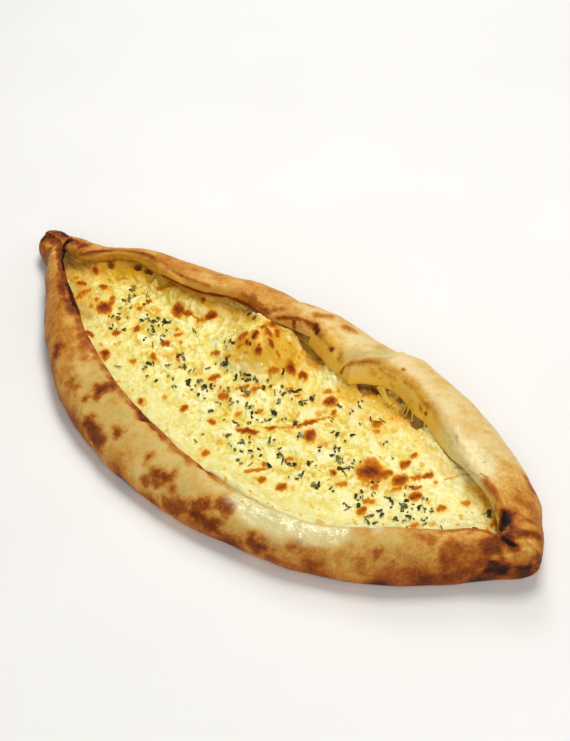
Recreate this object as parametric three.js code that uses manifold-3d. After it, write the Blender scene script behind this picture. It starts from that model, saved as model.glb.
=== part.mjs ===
// A cheese pide: a long boat of baked dough whose edges are folded in over melted cheese.
// Millimetres, +Z up. +X runs from the twisted knob to the blunt pinched end.
// The low, broad rim is at -Y, and the tall folded one at +Y.
// The dough is one loft of cross-sections: a flat sole, a rim on each side and the pocket between them.
// The cheese is a slab with a height at every point of the pocket, with dried herbs fused to its top.
import * as THREE from "three";
import { mergeVertices } from "three/addons/utils/BufferGeometryUtils.js";
import Module from "manifold-3d";

// ---- Driving dimensions ----

const KNOB_END_X = -168.5; // the flat end of the twisted knob
const BLUNT_END_X = 167.5; // the blunt end, where the two rims are pinched together
const KNOB_ROUNDING = 4;
const BLUNT_ROUNDING = 9;
const SOLE_THICKNESS = 7; // dough under the cheese

// The plan of the pide at stations along X, each a pair [x, y].
const NEAR_EDGE = [
  [-170, 17.5], [-162, 13.5], [-150, 5.5], [-136, -7.5], [-115, -26], [-95, -41.5], [-72, -55],
  [-48, -64.8], [-20, -71.2], [10, -73.6], [32, -72], [62, -66], [94, -55.2], [118, -41], [137, -23.5],
  [150, -9], [158, -0.5], [168, 6],
];
const FAR_EDGE = [
  [-170, 28], [-160, 29.5], [-151, 27.8], [-142, 30.3], [-130, 33.6], [-107, 40.3], [-86, 50.8], [-60, 61],
  [-32, 69], [0, 72.6], [36, 74.6], [60, 74], [85, 69.2], [104, 63.6], [120, 57], [136, 48], [148, 39],
  [158, 26.5], [168, 17.5],
];
const NEAR_LIP = [
  [-168, 22], [-160, 21], [-150, 17.5], [-138, 8], [-126, 0.5], [-112, -7], [-87, -23], [-73, -29],
  [-52, -37], [-32, -42.8], [-6, -47], [15, -49.5], [40, -49], [64, -47], [82, -43], [95, -34.8],
  [114, -21.3], [130, -8.5], [143, 3], [151, 4], [158, 7], [168, 10.5],
];
const FOOT_INSET = 7; // from the widest point in to where the dough meets the table
const POCKET_TUCK = 3; // the pocket's floor begins this far in from the deepest point of its wall

// Heights above the table, as pairs [x, z].
const NEAR_CREST = [
  [-170, 12.5], [-152, 15], [-136, 20], [-115, 23], [-85, 24], [-50, 23.5], [0, 22.5], [40, 21],
  [66, 21], [95, 23], [120, 26], [144, 25.5], [154, 23.5], [163, 24], [168, 23],
];
const FAR_CREST = [
  [-170, 13], [-160, 14.5], [-150, 17.5], [-138, 23], [-115, 25.5], [-90, 28.8], [-60, 30.5], [-20, 30.3],
  [10, 30], [32, 29.6], [37.5, 32.4], [45, 32.8], [60, 32.2], [90, 31], [118, 30], [140, 29], [154, 27.5],
  [163, 25], [168, 24],
];
const WIDEST_AT = [[-170, 7.5], [-140, 8], [-60, 8], [60, 8], [140, 10], [170, 11]]; // the widest point

// A rim's inner lip: how far its tip lies below the crest, how thick it is, how far the wall behind it
// is set back, and how far in from the tip the crest is. fullness shapes the rim's back: 2 is an ellipse.
const NEAR_FORM = { drop: 2.6, thickness: 2.6, setback: 5, crestInset: 5, fullness: 2 };

// The far rim is folded in lengths that overlap like shingles. Each length starts at a station, over a step.
const FAR_FOLDS = [
  {
    starts: -Infinity, // a thin lip that overhangs a deep hollow
    form: { drop: 3.2, thickness: 3, setback: 11, crestInset: 4.5, fullness: 1.9 },
    lip: [
      [-168, 23.5], [-160, 22.5], [-150, 19.5], [-137, 14], [-127, 15], [-120, 20], [-112, 27],
      [-99, 31.5], [-85, 30.5], [-68, 30.5], [-58, 34.5], [-46, 39.5], [-34, 41], [-12, 41],
    ],
  },
  {
    starts: -16,
    step: 4, // a short lip, open underneath
    form: { drop: 6.5, thickness: 3, setback: 9, crestInset: 5.5, fullness: 2 },
    lip: [[-20, 42], [-9, 44.5], [-1, 46], [6, 47]],
  },
  {
    starts: 2,
    step: 3, // a thick face that closes down on to the cheese
    form: { drop: 11, thickness: 3.5, setback: 6.5, crestInset: 7.5, fullness: 2 },
    lip: [[-2, 45.5], [4, 45.5], [9, 44], [19, 41], [30, 38.5], [40, 38]],
  },
  {
    starts: 35,
    step: 4.5, // a thick roll that begins with a rounded tongue
    form: { drop: 12.5, thickness: 3.2, setback: 6, crestInset: 8, fullness: 2 },
    lip: [
      [30, 35], [34.5, 36], [39, 40], [47, 44], [56, 45.8], [64, 44.5], [72, 42], [78, 41.5], [85, 38.8],
      [95, 33.5], [103, 30], [113, 27.5], [120, 26],
    ],
  },
  {
    starts: 114,
    step: 9, // a thin lip that runs into the overlap at the blunt end
    form: { drop: 4.5, thickness: 3, setback: 9, crestInset: 5, fullness: 2 },
    lip: [
      [108, 27], [122, 25.5], [130, 23], [138, 19.5], [143, 14.5], [148, 9], [152, 6], [158, 8.5], [168, 12],
    ],
  },
];
const ROLL_LAG = { from: 48, to: 70, distance: 12, reach: 26 }; // the roll's edge trails towards +X

// The pocket opens between these stations, and is a shallow seam beyond them.
const POCKET = { from: -147.5, to: 154, opensOver: 6.5 };
const SEAM_DEPTH = 1;
const SEAM_WIDTH = 0.6;
const SLENDER_RIM = 14; // a rim narrower than this has its lip flattened out
const MOST = { footInset: 0.3, setback: 0.55, crestInset: 0.5 }; // as shares of a slender rim

// Loft density
const STATION_STEP = 5;
const FINE_STEP = 1.6;
const FINE_REACH = 5; // either side of the start of a fold
const ARC_STEPS = { foot: 2, slope: 5, crest: 3, lip: 1, ceiling: 2, wall: 2 };

// Cheese
const CHEESE = { from: -140.4, to: 147.4, level: 15.2, endDip: 1.5, dipOver: 22, columns: 23 };
const CHEESE_POLE = { out: 0.5, height: 0.6 }; // the slab's pointed ends
const CLEARANCE = { wall: 1.7, roof: 1.2, floor: 0.8 }; // from the cheese to the dough round it
const LIP_MARGIN = 2.2; // the cheese stays lower than a lip's tip this close to it
const BANK = { rise: 5.5, width: 9, from: -140, to: -26, fade: 12 }; // drawn up under the first lip
const OVERFLOW = { rise: 3, width: 12, from: 22, to: 84, fade: 14 }; // run up to the near lip
const TENT = { x: -15, y: 29, height: 12, lengthX: 27, lengthY: 24 }; // blister pushed up beside the far rim
const HOLLOW = { x: 7, y: 49, depth: 5, lengthX: 17, lengthY: 11 }; // gap between the blister and the rim
const PITS = [
  // burst bubbles beside the far rim: [x, y, radius]
  [-108, 21, 4], [-93, 30, 4.5], [-84, 30, 4], [42, 41, 4], [67, 42, 4], [75, 41, 4.5],
];
const PIT_DEPTH = 4;
const CURDS = [
  { relief: 0.9, lengthX: 6.5, lengthY: 5, offset: 0 },
  { relief: 0.45, lengthX: 3.1, lengthY: 4, offset: 5 },
];

// Dried herbs
const HERBS = { count: 92, seed: 20, length: [2.4, 5.2], width: [1.1, 2.2], thickness: 0.9, sink: 0.35 };
const HERB_BAND = {
  from: -100,
  to: 122,
  middle: [[-100, 2], [-60, 4], [0, 2], [50, -2], [90, -8], [122, -4]],
  half: [[-100, 12], [-60, 16], [-20, 17], [20, 21], [60, 23], [95, 14], [122, 8]],
};

// A scrap of shredded cheese melted on to the far rim
const SCRAP = { x: 120, y: 34, lengthX: 8.2, lengthY: 4.4, thickness: 1.2, gap: 0.9, rings: 4, spokes: 18 };

const COLOURS = { crust: 0xd9a860, cheese: 0xf3dc86, scrap: 0xf5e6b4 };

// ---- Small helpers ----

const clamp01 = (t) => Math.min(1, Math.max(0, t));
const smoothstep = (from, to, x) => {
  const t = clamp01((x - from) / (to - from));
  return t * t * (3 - 2 * t);
};
const mix = (a, b, t) => a + (b - a) * t;
const hump = (x, y, form) => {
  const r2 = ((x - form.x) / form.lengthX) ** 2 + ((y - form.y) / form.lengthY) ** 2;
  return r2 < 1 ? (1 - r2) ** 2 : 0;
};

// A smooth curve through the stations, level with its ends beyond them.
function through(stations) {
  const slope = (i) => {
    if (i === 0 || i === stations.length - 1) return 0;
    const [before, after] = [stations[i - 1], stations[i + 1]];
    return (after[1] - before[1]) / (after[0] - before[0]);
  };
  return (x) => {
    const last = stations.length - 1;
    if (x <= stations[0][0]) return stations[0][1];
    if (x >= stations[last][0]) return stations[last][1];
    let i = 0;
    while (x > stations[i + 1][0]) i++;
    const [[x0, y0], [x1, y1]] = [stations[i], stations[i + 1]];
    const [span, t] = [x1 - x0, (x - x0) / (x1 - x0)];
    const [t2, t3] = [t * t, t * t * t];
    return (
      y0 * (2 * t3 - 3 * t2 + 1) +
      y1 * (3 * t2 - 2 * t3) +
      span * slope(i) * (t3 - 2 * t2 + t) +
      span * slope(i + 1) * (t3 - t2)
    );
  };
}

// The same sequence of numbers from 0 to 1 on every run.
function randomFrom(seed) {
  let state = seed >>> 0;
  return () => {
    state = (Math.imul(state, 1664525) + 1013904223) >>> 0;
    return state / 4294967296;
  };
}

// Slow unevenness, between about -1 and 1.
const uneven = (a, b) =>
  0.5 * Math.sin(a + 1.7 * Math.sin(0.6 * b + 1)) + 0.5 * Math.sin(1.7 * b + 2.3 + 1.3 * Math.sin(0.8 * a));

const nearEdge = through(NEAR_EDGE);
const farEdge = through(FAR_EDGE);
const nearLip = through(NEAR_LIP);
const farLips = FAR_FOLDS.map((fold) => through(fold.lip));
const nearCrest = through(NEAR_CREST);
const farCrest = through(FAR_CREST);
const widestAt = through(WIDEST_AT);
const herbMiddle = through(HERB_BAND.middle);
const herbHalf = through(HERB_BAND.half);

// How much of each of the far rim's folds there is at a station. The shares add up to 1.
function foldShares(x) {
  const begun = FAR_FOLDS.map(({ starts, step }) => {
    return step ? smoothstep(starts - step / 2, starts + step / 2, x) : 1;
  });
  return begun.map((share, i) => share - (begun[i + 1] ?? 0));
}
const blend = (shares, values) => shares.reduce((sum, share, i) => sum + share * values[i], 0);
const farLip = (x) => blend(foldShares(x), farLips.map((lip) => lip(x)));
function farForm(x) {
  const shares = foldShares(x);
  const sizeOf = (key) => blend(shares, FAR_FOLDS.map((fold) => fold.form[key]));
  return Object.fromEntries(Object.keys(NEAR_FORM).map((key) => [key, sizeOf(key)]));
}
function openness(x) {
  const { from, to, opensOver } = POCKET;
  return smoothstep(from, from + opensOver, x) * smoothstep(to, to - opensOver, x);
}

// ---- The dough ----

// Adds a quarter of a superellipse from the last point of path to [y, z].
function quarterTo(path, y, z, steps, startsLevel, fullness = 2) {
  const [y0, z0] = path[path.length - 1];
  for (let k = 1; k <= steps; k++) {
    const angle = ((k / steps) * Math.PI) / 2;
    const rising = Math.sin(angle) ** (2 / fullness);
    const late = 1 - Math.cos(angle) ** (2 / fullness);
    path.push([mix(y0, y, startsLevel ? rising : late), mix(z0, z, startsLevel ? late : rising)]);
  }
}

// The named points of one rim's cross-section. side is -1 for the near rim and 1 for the far one.
function rimPoints(side, { edge, widestZ, crestZ, lip, form, width }) {
  const breadth = Math.abs(edge - lip);
  const lipZ = crestZ - form.drop * Math.min(1, breadth / SLENDER_RIM) ** 2;
  const setback = Math.min(form.setback, MOST.setback * breadth);
  return {
    foot: [edge - side * Math.min(FOOT_INSET, MOST.footInset * width), 0],
    edge: [edge, widestZ],
    crest: [lip + side * Math.min(form.crestInset, MOST.crestInset * breadth), crestZ],
    lip: [lip, lipZ],
    under: [lip + side * form.thickness, lipZ - form.thickness],
    wall: [lip + side * setback, (lipZ - form.thickness + SOLE_THICKNESS) / 2],
    floor: [lip + side * (setback - POCKET_TUCK), SOLE_THICKNESS],
  };
}

// One rim's cross-section from its foot, over its crest and lip, to the pocket's floor.
function rimPath(rim, fullness) {
  const path = [rim.foot];
  quarterTo(path, ...rim.edge, ARC_STEPS.foot, true);
  quarterTo(path, ...rim.crest, ARC_STEPS.slope, false, fullness);
  quarterTo(path, ...rim.lip, ARC_STEPS.crest, true);
  quarterTo(path, ...rim.under, ARC_STEPS.lip, false);
  quarterTo(path, ...rim.wall, ARC_STEPS.ceiling, true);
  quarterTo(path, ...rim.floor, ARC_STEPS.wall, false);
  return path;
}
const CREST_INDEX = ARC_STEPS.foot + ARC_STEPS.slope;
const LIP_INDEX = CREST_INDEX + ARC_STEPS.crest;
const WALL_INDEX = LIP_INDEX + ARC_STEPS.lip + ARC_STEPS.ceiling;

// Where the pocket is shut, the path runs on from the lip to the seam instead of down into the pocket.
function shut(path, open, seamY, seamZ) {
  const [lipY, lipZ] = path[LIP_INDEX];
  const last = path.length - 1;
  return path.map(([y, z], i) => {
    if (i <= LIP_INDEX) return [y, z];
    const share = (i - LIP_INDEX) / (last - LIP_INDEX);
    return [mix(mix(lipY, seamY, share), y, open), mix(mix(lipZ, seamZ, share), z, open)];
  });
}

function rimsAt(x) {
  const [form, width, widestZ] = [farForm(x), farEdge(x) - nearEdge(x), widestAt(x)];
  const nearSizes = { edge: nearEdge(x), crestZ: nearCrest(x), lip: nearLip(x), form: NEAR_FORM };
  const farSizes = { edge: farEdge(x), crestZ: farCrest(x), lip: farLip(x), form };
  const near = rimPoints(-1, { ...nearSizes, widestZ, width });
  const far = rimPoints(1, { ...farSizes, widestZ, width });
  return { near, far, farFullness: form.fullness };
}

// A closed cross-section, counted from the near foot up and over to the far foot.
function sectionAt(x) {
  const { near, far, farFullness } = rimsAt(x);
  const open = openness(x);
  const seamY = (near.lip[0] + far.lip[0]) / 2;
  const lapped = Math.min(1, Math.abs(near.lip[0] - near.edge[0]) / SLENDER_RIM) ** 2;
  const seamZ = Math.min(near.lip[1], far.lip[1]) - SEAM_DEPTH * lapped;
  const nearPath = shut(rimPath(near, NEAR_FORM.fullness), open, seamY - SEAM_WIDTH / 2, seamZ);
  const farPath = shut(rimPath(far, farFullness), open, seamY + SEAM_WIDTH / 2, seamZ);
  return [...nearPath, ...farPath.reverse()];
}

// Rounds the section off towards each end: 1 in the body, near 0 at the tip.
function endScale(x) {
  const knob = clamp01((KNOB_END_X + KNOB_ROUNDING - x) / KNOB_ROUNDING);
  const blunt = clamp01((x - BLUNT_END_X + BLUNT_ROUNDING) / BLUNT_ROUNDING);
  return Math.sqrt(1 - Math.max(knob, blunt) ** 2);
}

function placeStations() {
  const list = [];
  const endAngles = [8, 25, 45, 65].map((degrees) => (degrees * Math.PI) / 180);
  for (const a of endAngles) list.push(KNOB_END_X + KNOB_ROUNDING * (1 - Math.cos(a)));
  const bodyEnd = BLUNT_END_X - BLUNT_ROUNDING;
  let x = KNOB_END_X + KNOB_ROUNDING;
  while (x < bodyEnd - 1) {
    list.push(x);
    const atFold = FAR_FOLDS.some(({ starts, step }) => Math.abs(x - starts) < FINE_REACH && step < 5);
    const atEnd = openness(x + 1) < 1;
    const next = x + (atFold ? FINE_STEP : atEnd ? STATION_STEP / 2 : STATION_STEP);
    const cheeseEnd = [CHEESE.from, CHEESE.to].find((end) => x < end && next >= end);
    x = cheeseEnd ?? next;
  }
  for (const a of [...endAngles].reverse()) list.push(bodyEnd + BLUNT_ROUNDING * Math.cos(a));
  return list;
}
const stations = placeStations();

// A closed mesh through the rings, with a pole at each end.
function loft(rings, startPole, endPole) {
  const count = rings[0].length;
  const positions = rings.flat().concat([startPole, endPole]).flat();
  const startIndex = rings.length * count;
  const index = [];
  for (let i = 0; i + 1 < rings.length; i++) {
    for (let j = 0; j < count; j++) {
      const k = (j + 1) % count;
      const [a, b, c, d] = [i * count + j, i * count + k, (i + 1) * count + k, (i + 1) * count + j];
      index.push(a, b, c, a, c, d);
    }
  }
  const lastRing = (rings.length - 1) * count;
  for (let j = 0; j < count; j++) {
    const k = (j + 1) % count;
    index.push(startIndex, k, j, startIndex + 1, lastRing + j, lastRing + k);
  }
  return facingOut(positions, index);
}

function facingOut(positions, index) {
  let volume = 0;
  const at = (i) => new THREE.Vector3().fromArray(positions, 3 * i);
  for (let t = 0; t < index.length; t += 3) {
    volume += at(index[t]).dot(at(index[t + 1]).cross(at(index[t + 2])));
  }
  if (volume < 0) index.reverse();
  const geometry = new THREE.BufferGeometry();
  geometry.setAttribute("position", new THREE.Float32BufferAttribute(positions, 3));
  geometry.setIndex(index);
  geometry.computeVertexNormals();
  return geometry;
}

// How far a point of the far rim trails its station, so that the roll's edge runs out obliquely.
function lag(x, y) {
  const nearRoll = Math.max(0, 1 - ((x - FAR_FOLDS[3].starts) / ROLL_LAG.reach) ** 2) ** 2;
  return ROLL_LAG.distance * nearRoll * smoothstep(ROLL_LAG.from, ROLL_LAG.to, y);
}

function crustGeometry() {
  const rings = stations.map((x) => {
    const section = sectionAt(x);
    const scale = endScale(x);
    const middleY = (nearEdge(x) + farEdge(x)) / 2;
    const middleZ = widestAt(x);
    return section.map(([y, z]) => [x + lag(x, y), mix(middleY, y, scale), mix(middleZ, z, scale)]);
  });
  const pole = (x) => [x, (nearEdge(x) + farEdge(x)) / 2, widestAt(x)];
  return loft(rings, pole(KNOB_END_X), pole(BLUNT_END_X));
}

// ---- The cheese ----

const between = (x, { from, to, fade }) => smoothstep(from - fade, from, x) * smoothstep(to + fade, to, x);

// Height of the cheese over a point of the pocket.
function cheeseHeight(x, y) {
  const [start, end] = [CHEESE.from - 2, CHEESE.to + 2];
  const ends = smoothstep(start, start + CHEESE.dipOver, x) * smoothstep(end, end - CHEESE.dipOver, x);
  let z = mix(CHEESE.level - CHEESE.endDip, CHEESE.level, ends);
  for (const { relief, lengthX, lengthY, offset } of CURDS) {
    z += relief * uneven(x / lengthX + offset, y / lengthY + 2 * offset);
  }
  z += between(x, BANK) * BANK.rise * smoothstep(farLip(x) - BANK.width, farLip(x) + 1, y);
  z += between(x, OVERFLOW) * OVERFLOW.rise * smoothstep(nearLip(x) + OVERFLOW.width, nearLip(x) + 1, y);
  z += TENT.height * hump(x, y, TENT) ** 0.75;
  z -= HOLLOW.depth * hump(x, y, HOLLOW);
  for (const [px, py, radius] of PITS) {
    z -= PIT_DEPTH * hump(x, y, { x: px, y: py, lengthX: radius, lengthY: radius });
  }
  return z;
}

// Height of the dough that overhangs a point of the pocket, or Infinity where the pocket is open above.
function roofOver(rimSection, y) {
  const [lipY, lipZ] = rimSection[LIP_INDEX];
  let roof = Math.abs(y - lipY) < LIP_MARGIN ? lipZ : Infinity;
  for (let i = LIP_INDEX; i < WALL_INDEX; i++) {
    const [[y0, z0], [y1, z1]] = [rimSection[i], rimSection[i + 1]];
    if ((y0 - y) * (y1 - y) <= 0 && y0 !== y1) roof = Math.min(roof, mix(z0, z1, (y - y0) / (y1 - y0)));
  }
  return roof;
}

// The cheese's cross-section: its top, reaching in under each lip, then its two bottom corners.
function cheeseSection(x) {
  const section = sectionAt(x);
  const nearSide = section.slice(0, section.length / 2);
  const farSide = section.slice(section.length / 2).reverse();
  const inFrom = (index) => [nearSide[index][0] + CLEARANCE.wall, farSide[index][0] - CLEARANCE.wall];
  const ends = inFrom(WALL_INDEX);
  const corners = inFrom(nearSide.length - 1);
  const floorZ = SOLE_THICKNESS + CLEARANCE.floor;
  const ring = [];
  for (let j = 0; j < CHEESE.columns; j++) {
    const y = mix(ends[0], ends[1], j / (CHEESE.columns - 1));
    const roof = Math.min(roofOver(nearSide, y), roofOver(farSide, y)) - CLEARANCE.roof;
    ring.push([x, y, Math.max(floorZ + 1, Math.min(roof, cheeseHeight(x, y)))]);
  }
  return [...ring, [x, corners[1], floorZ], [x, corners[0], floorZ]];
}

const cheeseStations = stations.filter((x) => x >= CHEESE.from && x <= CHEESE.to);
const cheeseRings = cheeseStations.map(cheeseSection);

function cheeseGeometry() {
  const pole = (ring, dx) => {
    const middle = ring[Math.floor(CHEESE.columns / 2)];
    return [middle[0] + dx, middle[1], mix(SOLE_THICKNESS, middle[2], CHEESE_POLE.height)];
  };
  const [first, last] = [cheeseRings[0], cheeseRings[cheeseRings.length - 1]];
  return loft(cheeseRings, pole(first, -CHEESE_POLE.out), pole(last, CHEESE_POLE.out));
}

// Height of the finished slab's top over a point, read from the sections either side of it.
function cheeseTop(x, y) {
  const i = cheeseStations.findIndex((station) => station > x) - 1;
  const [before, after] = [i, i + 1].map((k) => {
    const ring = cheeseRings[k];
    const place = ((y - ring[0][1]) / (ring[CHEESE.columns - 1][1] - ring[0][1])) * (CHEESE.columns - 1);
    const j = Math.min(CHEESE.columns - 2, Math.max(0, Math.floor(place)));
    return mix(ring[j][2], ring[j + 1][2], place - j);
  });
  return mix(before, after, (x - cheeseStations[i]) / (cheeseStations[i + 1] - cheeseStations[i]));
}

// A crumb of dried leaf: a flattened, skewed icosahedron lying on the cheese.
function herbGeometry(random) {
  const [length, width] = [mix(...HERBS.length, random() ** 2), mix(...HERBS.width, random())];
  const x = mix(HERB_BAND.from, HERB_BAND.to, random());
  const y = herbMiddle(x) + (random() + random() - 1) * herbHalf(x);
  const crumb = new THREE.IcosahedronGeometry(1, 0);
  crumb.scale(length / 2, width / 2, HERBS.thickness / 2);
  crumb.rotateX((random() - 0.5) * 0.6);
  crumb.rotateY((random() - 0.5) * 0.2);
  crumb.rotateZ(random() * Math.PI);
  crumb.translate(x, y, cheeseTop(x, y) + HERBS.thickness / 2 - HERBS.sink);
  return crumb;
}

// Height of the dough's top over a point, read from the sections either side of it.
function doughTop(x, y) {
  const i = stations.findIndex((station) => station > x) - 1;
  const [before, after] = [sectionAt(stations[i]), sectionAt(stations[i + 1])].map((section) => {
    let top = 0;
    for (let k = 0; k + 1 < section.length; k++) {
      const [[y0, z0], [y1, z1]] = [section[k], section[k + 1]];
      if ((y0 - y) * (y1 - y) <= 0 && y0 !== y1) top = Math.max(top, mix(z0, z1, (y - y0) / (y1 - y0)));
    }
    return top;
  });
  return mix(before, after, (x - stations[i]) / (stations[i + 1] - stations[i]));
}

// One face of the scrap, in rings of points round its middle, that much above the far rim.
function scrapLayer(lift) {
  const { x, y, lengthX, lengthY, rings, spokes, gap } = SCRAP;
  const points = [];
  for (let r = 1; r <= rings; r++) {
    const thin = r === rings ? 0.35 : 1;
    for (let s = 0; s < spokes; s++) {
      const angle = (s / spokes) * 2 * Math.PI;
      const reach = (r / rings) * (1 + 0.15 * Math.sin(3 * angle + 1) + 0.08 * Math.sin(7 * angle));
      const [px, py] = [x + reach * lengthX * Math.cos(angle), y + reach * lengthY * Math.sin(angle)];
      points.push([px, py, doughTop(px, py) + gap + lift * thin * (1 + 0.25 * uneven(px, py))]);
    }
  }
  return points;
}

// A patch of melted shreds that follows the top of the far rim.
function scrapGeometry() {
  const { x, y, rings, spokes, thickness, gap } = SCRAP;
  const middle = (lift) => [x, y, doughTop(x, y) + gap + lift];
  const positions = [...scrapLayer(0), ...scrapLayer(thickness), middle(0), middle(thickness)].flat();
  const [offset, lowMiddle] = [rings * spokes, 2 * rings * spokes];
  const index = [];
  for (let s = 0; s < spokes; s++) {
    const n = (s + 1) % spokes;
    index.push(lowMiddle, n, s, lowMiddle + 1, offset + s, offset + n);
    for (let r = 0; r + 1 < rings; r++) {
      const [a, b, c, d] = [r * spokes + s, r * spokes + n, (r + 1) * spokes + n, (r + 1) * spokes + s];
      index.push(a, b, c, a, c, d, offset + a, offset + c, offset + b, offset + a, offset + d, offset + c);
    }
    const [e, f] = [(rings - 1) * spokes + s, (rings - 1) * spokes + n];
    index.push(e, f, offset + f, e, offset + f, offset + e);
  }
  return facingOut(positions, index);
}

// ---- Assembly ----

const wasm = await Module();
wasm.setup();

function solidOf(geometry) {
  const bare = new THREE.BufferGeometry().setAttribute("position", geometry.getAttribute("position"));
  if (geometry.index) bare.setIndex(geometry.index);
  const merged = mergeVertices(bare, 1e-4);
  return new wasm.Manifold(
    new wasm.Mesh({
      numProp: 3,
      vertProperties: new Float32Array(merged.attributes.position.array),
      triVerts: new Uint32Array(merged.index.array),
    }),
  );
}

function geometryOf(solid) {
  const mesh = solid.getMesh();
  const geometry = new THREE.BufferGeometry();
  geometry.setAttribute("position", new THREE.Float32BufferAttribute(mesh.vertProperties, 3));
  geometry.setIndex(new THREE.BufferAttribute(mesh.triVerts, 1));
  geometry.computeVertexNormals();
  return geometry;
}

function cheeseWithHerbs() {
  const random = randomFrom(HERBS.seed);
  let solid = solidOf(cheeseGeometry());
  for (let i = 0; i < HERBS.count; i++) solid = solid.add(solidOf(herbGeometry(random)));
  return geometryOf(solid);
}

function node(name, geometry, colour, roughness) {
  const material = new THREE.MeshStandardMaterial({ color: colour, roughness, metalness: 0 });
  const mesh = new THREE.Mesh(geometry, material);
  mesh.name = name;
  return mesh;
}

const pide = new THREE.Group();
pide.add(node("crust", crustGeometry(), COLOURS.crust, 0.6));
pide.add(node("cheese", cheeseWithHerbs(), COLOURS.cheese, 0.35));
pide.add(node("rim_cheese", scrapGeometry(), COLOURS.scrap, 0.4));

// The origin is under the middle of the whole pide, on the table.
const box = new THREE.Box3().setFromObject(pide);
pide.position.set(-(box.min.x + box.max.x) / 2, -(box.min.y + box.max.y) / 2, -box.min.z);

export default pide;
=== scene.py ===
"""A cheese pide on a pale table: the baked dough, the melted cheese in it and the dried herbs on it.

Sizes are millimetres until a mesh is made, and MM turns them into the frame's metres. +X runs from the
twisted knob to the blunt end, and the tall folded rim is at +Y. The dough and the cheese are worked out at
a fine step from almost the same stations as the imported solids, then get their relief. What shows at one
place on the surface, such as a blister or a burn, is placed by the pixel of the view at which it shows:
the camera's ray through that pixel is followed down to the surface that carries it.
"""
import math

import bpy
import numpy as np
from mathutils import Matrix, Vector, noise
from mathutils.bvhtree import BVHTree


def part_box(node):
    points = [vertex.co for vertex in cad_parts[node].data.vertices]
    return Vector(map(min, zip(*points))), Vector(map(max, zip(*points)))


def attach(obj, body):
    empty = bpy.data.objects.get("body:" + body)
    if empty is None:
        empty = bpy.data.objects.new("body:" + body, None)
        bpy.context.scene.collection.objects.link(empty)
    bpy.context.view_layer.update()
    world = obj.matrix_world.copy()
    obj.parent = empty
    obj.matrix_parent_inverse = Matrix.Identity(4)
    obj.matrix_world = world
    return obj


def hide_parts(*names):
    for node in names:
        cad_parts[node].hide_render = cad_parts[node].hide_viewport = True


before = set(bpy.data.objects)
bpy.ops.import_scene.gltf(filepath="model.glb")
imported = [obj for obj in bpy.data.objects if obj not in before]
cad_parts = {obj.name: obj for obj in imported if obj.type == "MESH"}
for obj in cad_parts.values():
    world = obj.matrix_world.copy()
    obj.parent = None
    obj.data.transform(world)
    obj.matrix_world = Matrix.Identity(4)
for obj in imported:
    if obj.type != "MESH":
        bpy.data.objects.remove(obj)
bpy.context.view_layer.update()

MM = 0.001
BODY = "root"

# ---- The view ----

VIEW = {
    "width": 570, "height": 741, "focal": 1624.3,  # pixels
    "azimuth": 42.2, "elevation": 43.0,  # degrees, from -Y towards +X, and up
    "distance": 800.0, "target": (1.8, 28.7, 12.0), "sensor": 36.0,  # mm
}

# ---- The dough's outline: stations [x, y], and heights [x, z] ----

KNOB_END_X = -168.5
BLUNT_END_X = 167.5
KNOB_ROUNDING = 4.0
BLUNT_ROUNDING = 9.0
SOLE = 7.0  # dough under the cheese
FOOT_INSET = 7.0
POCKET_TUCK = 3.0

NEAR_EDGE = [
    [-170, 16.5], [-162, 12.2], [-150, 8], [-136, -5.4], [-115, -25.2], [-95, -41.3], [-72, -55],
    [-48, -64.8], [-20, -71.2], [10, -73.6], [32, -72], [62, -66], [94, -55.2], [118, -41], [137, -23.5],
    [150, -9], [158, -0.5], [168, 6],
]
FAR_EDGE = [
    [-170, 28], [-160, 29.5], [-151, 27.8], [-142, 30.3], [-130, 33.6], [-107, 40.3], [-86, 50.8],
    [-60, 61], [-32, 69], [0, 72.6], [36, 74.6], [60, 74], [85, 69.2], [104, 63.6], [120, 57],
    [136, 48], [148, 39], [158, 26.5], [168, 17.5],
]
NEAR_LIP = [
    [-168, 22], [-160, 21], [-150, 18.5], [-138, 9], [-126, 0.8], [-112, -7.4], [-87, -22.6], [-73, -29],
    [-52, -37], [-32, -42.8], [-6, -47], [15, -49.5], [40, -49], [64, -47], [82, -43], [95, -34.8],
    [114, -21.3], [130, -8.5], [143, 3], [151, 4], [158, 7], [168, 10.5],
]
NEAR_CREST = [
    [-170, 12.5], [-152, 15], [-136, 20], [-115, 23], [-85, 24], [-50, 23.5], [0, 22.5], [40, 21],
    [66, 21], [95, 23], [120, 26], [144, 25.5], [154, 23.5], [163, 24], [168, 23],
]
FAR_CREST = [
    [-170, 13], [-160, 14.5], [-150, 17.5], [-138, 23], [-115, 25.5], [-90, 28.8], [-60, 30.5],
    [-20, 30.3], [10, 30], [32, 29.6], [37.5, 32.4], [45, 32.8], [60, 32.2], [90, 31], [118, 30],
    [140, 29], [154, 27.5], [163, 25], [168, 24],
]
WIDEST_AT = [[-170, 7.5], [-140, 8], [-60, 8], [60, 8], [140, 10], [170, 11]]

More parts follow.
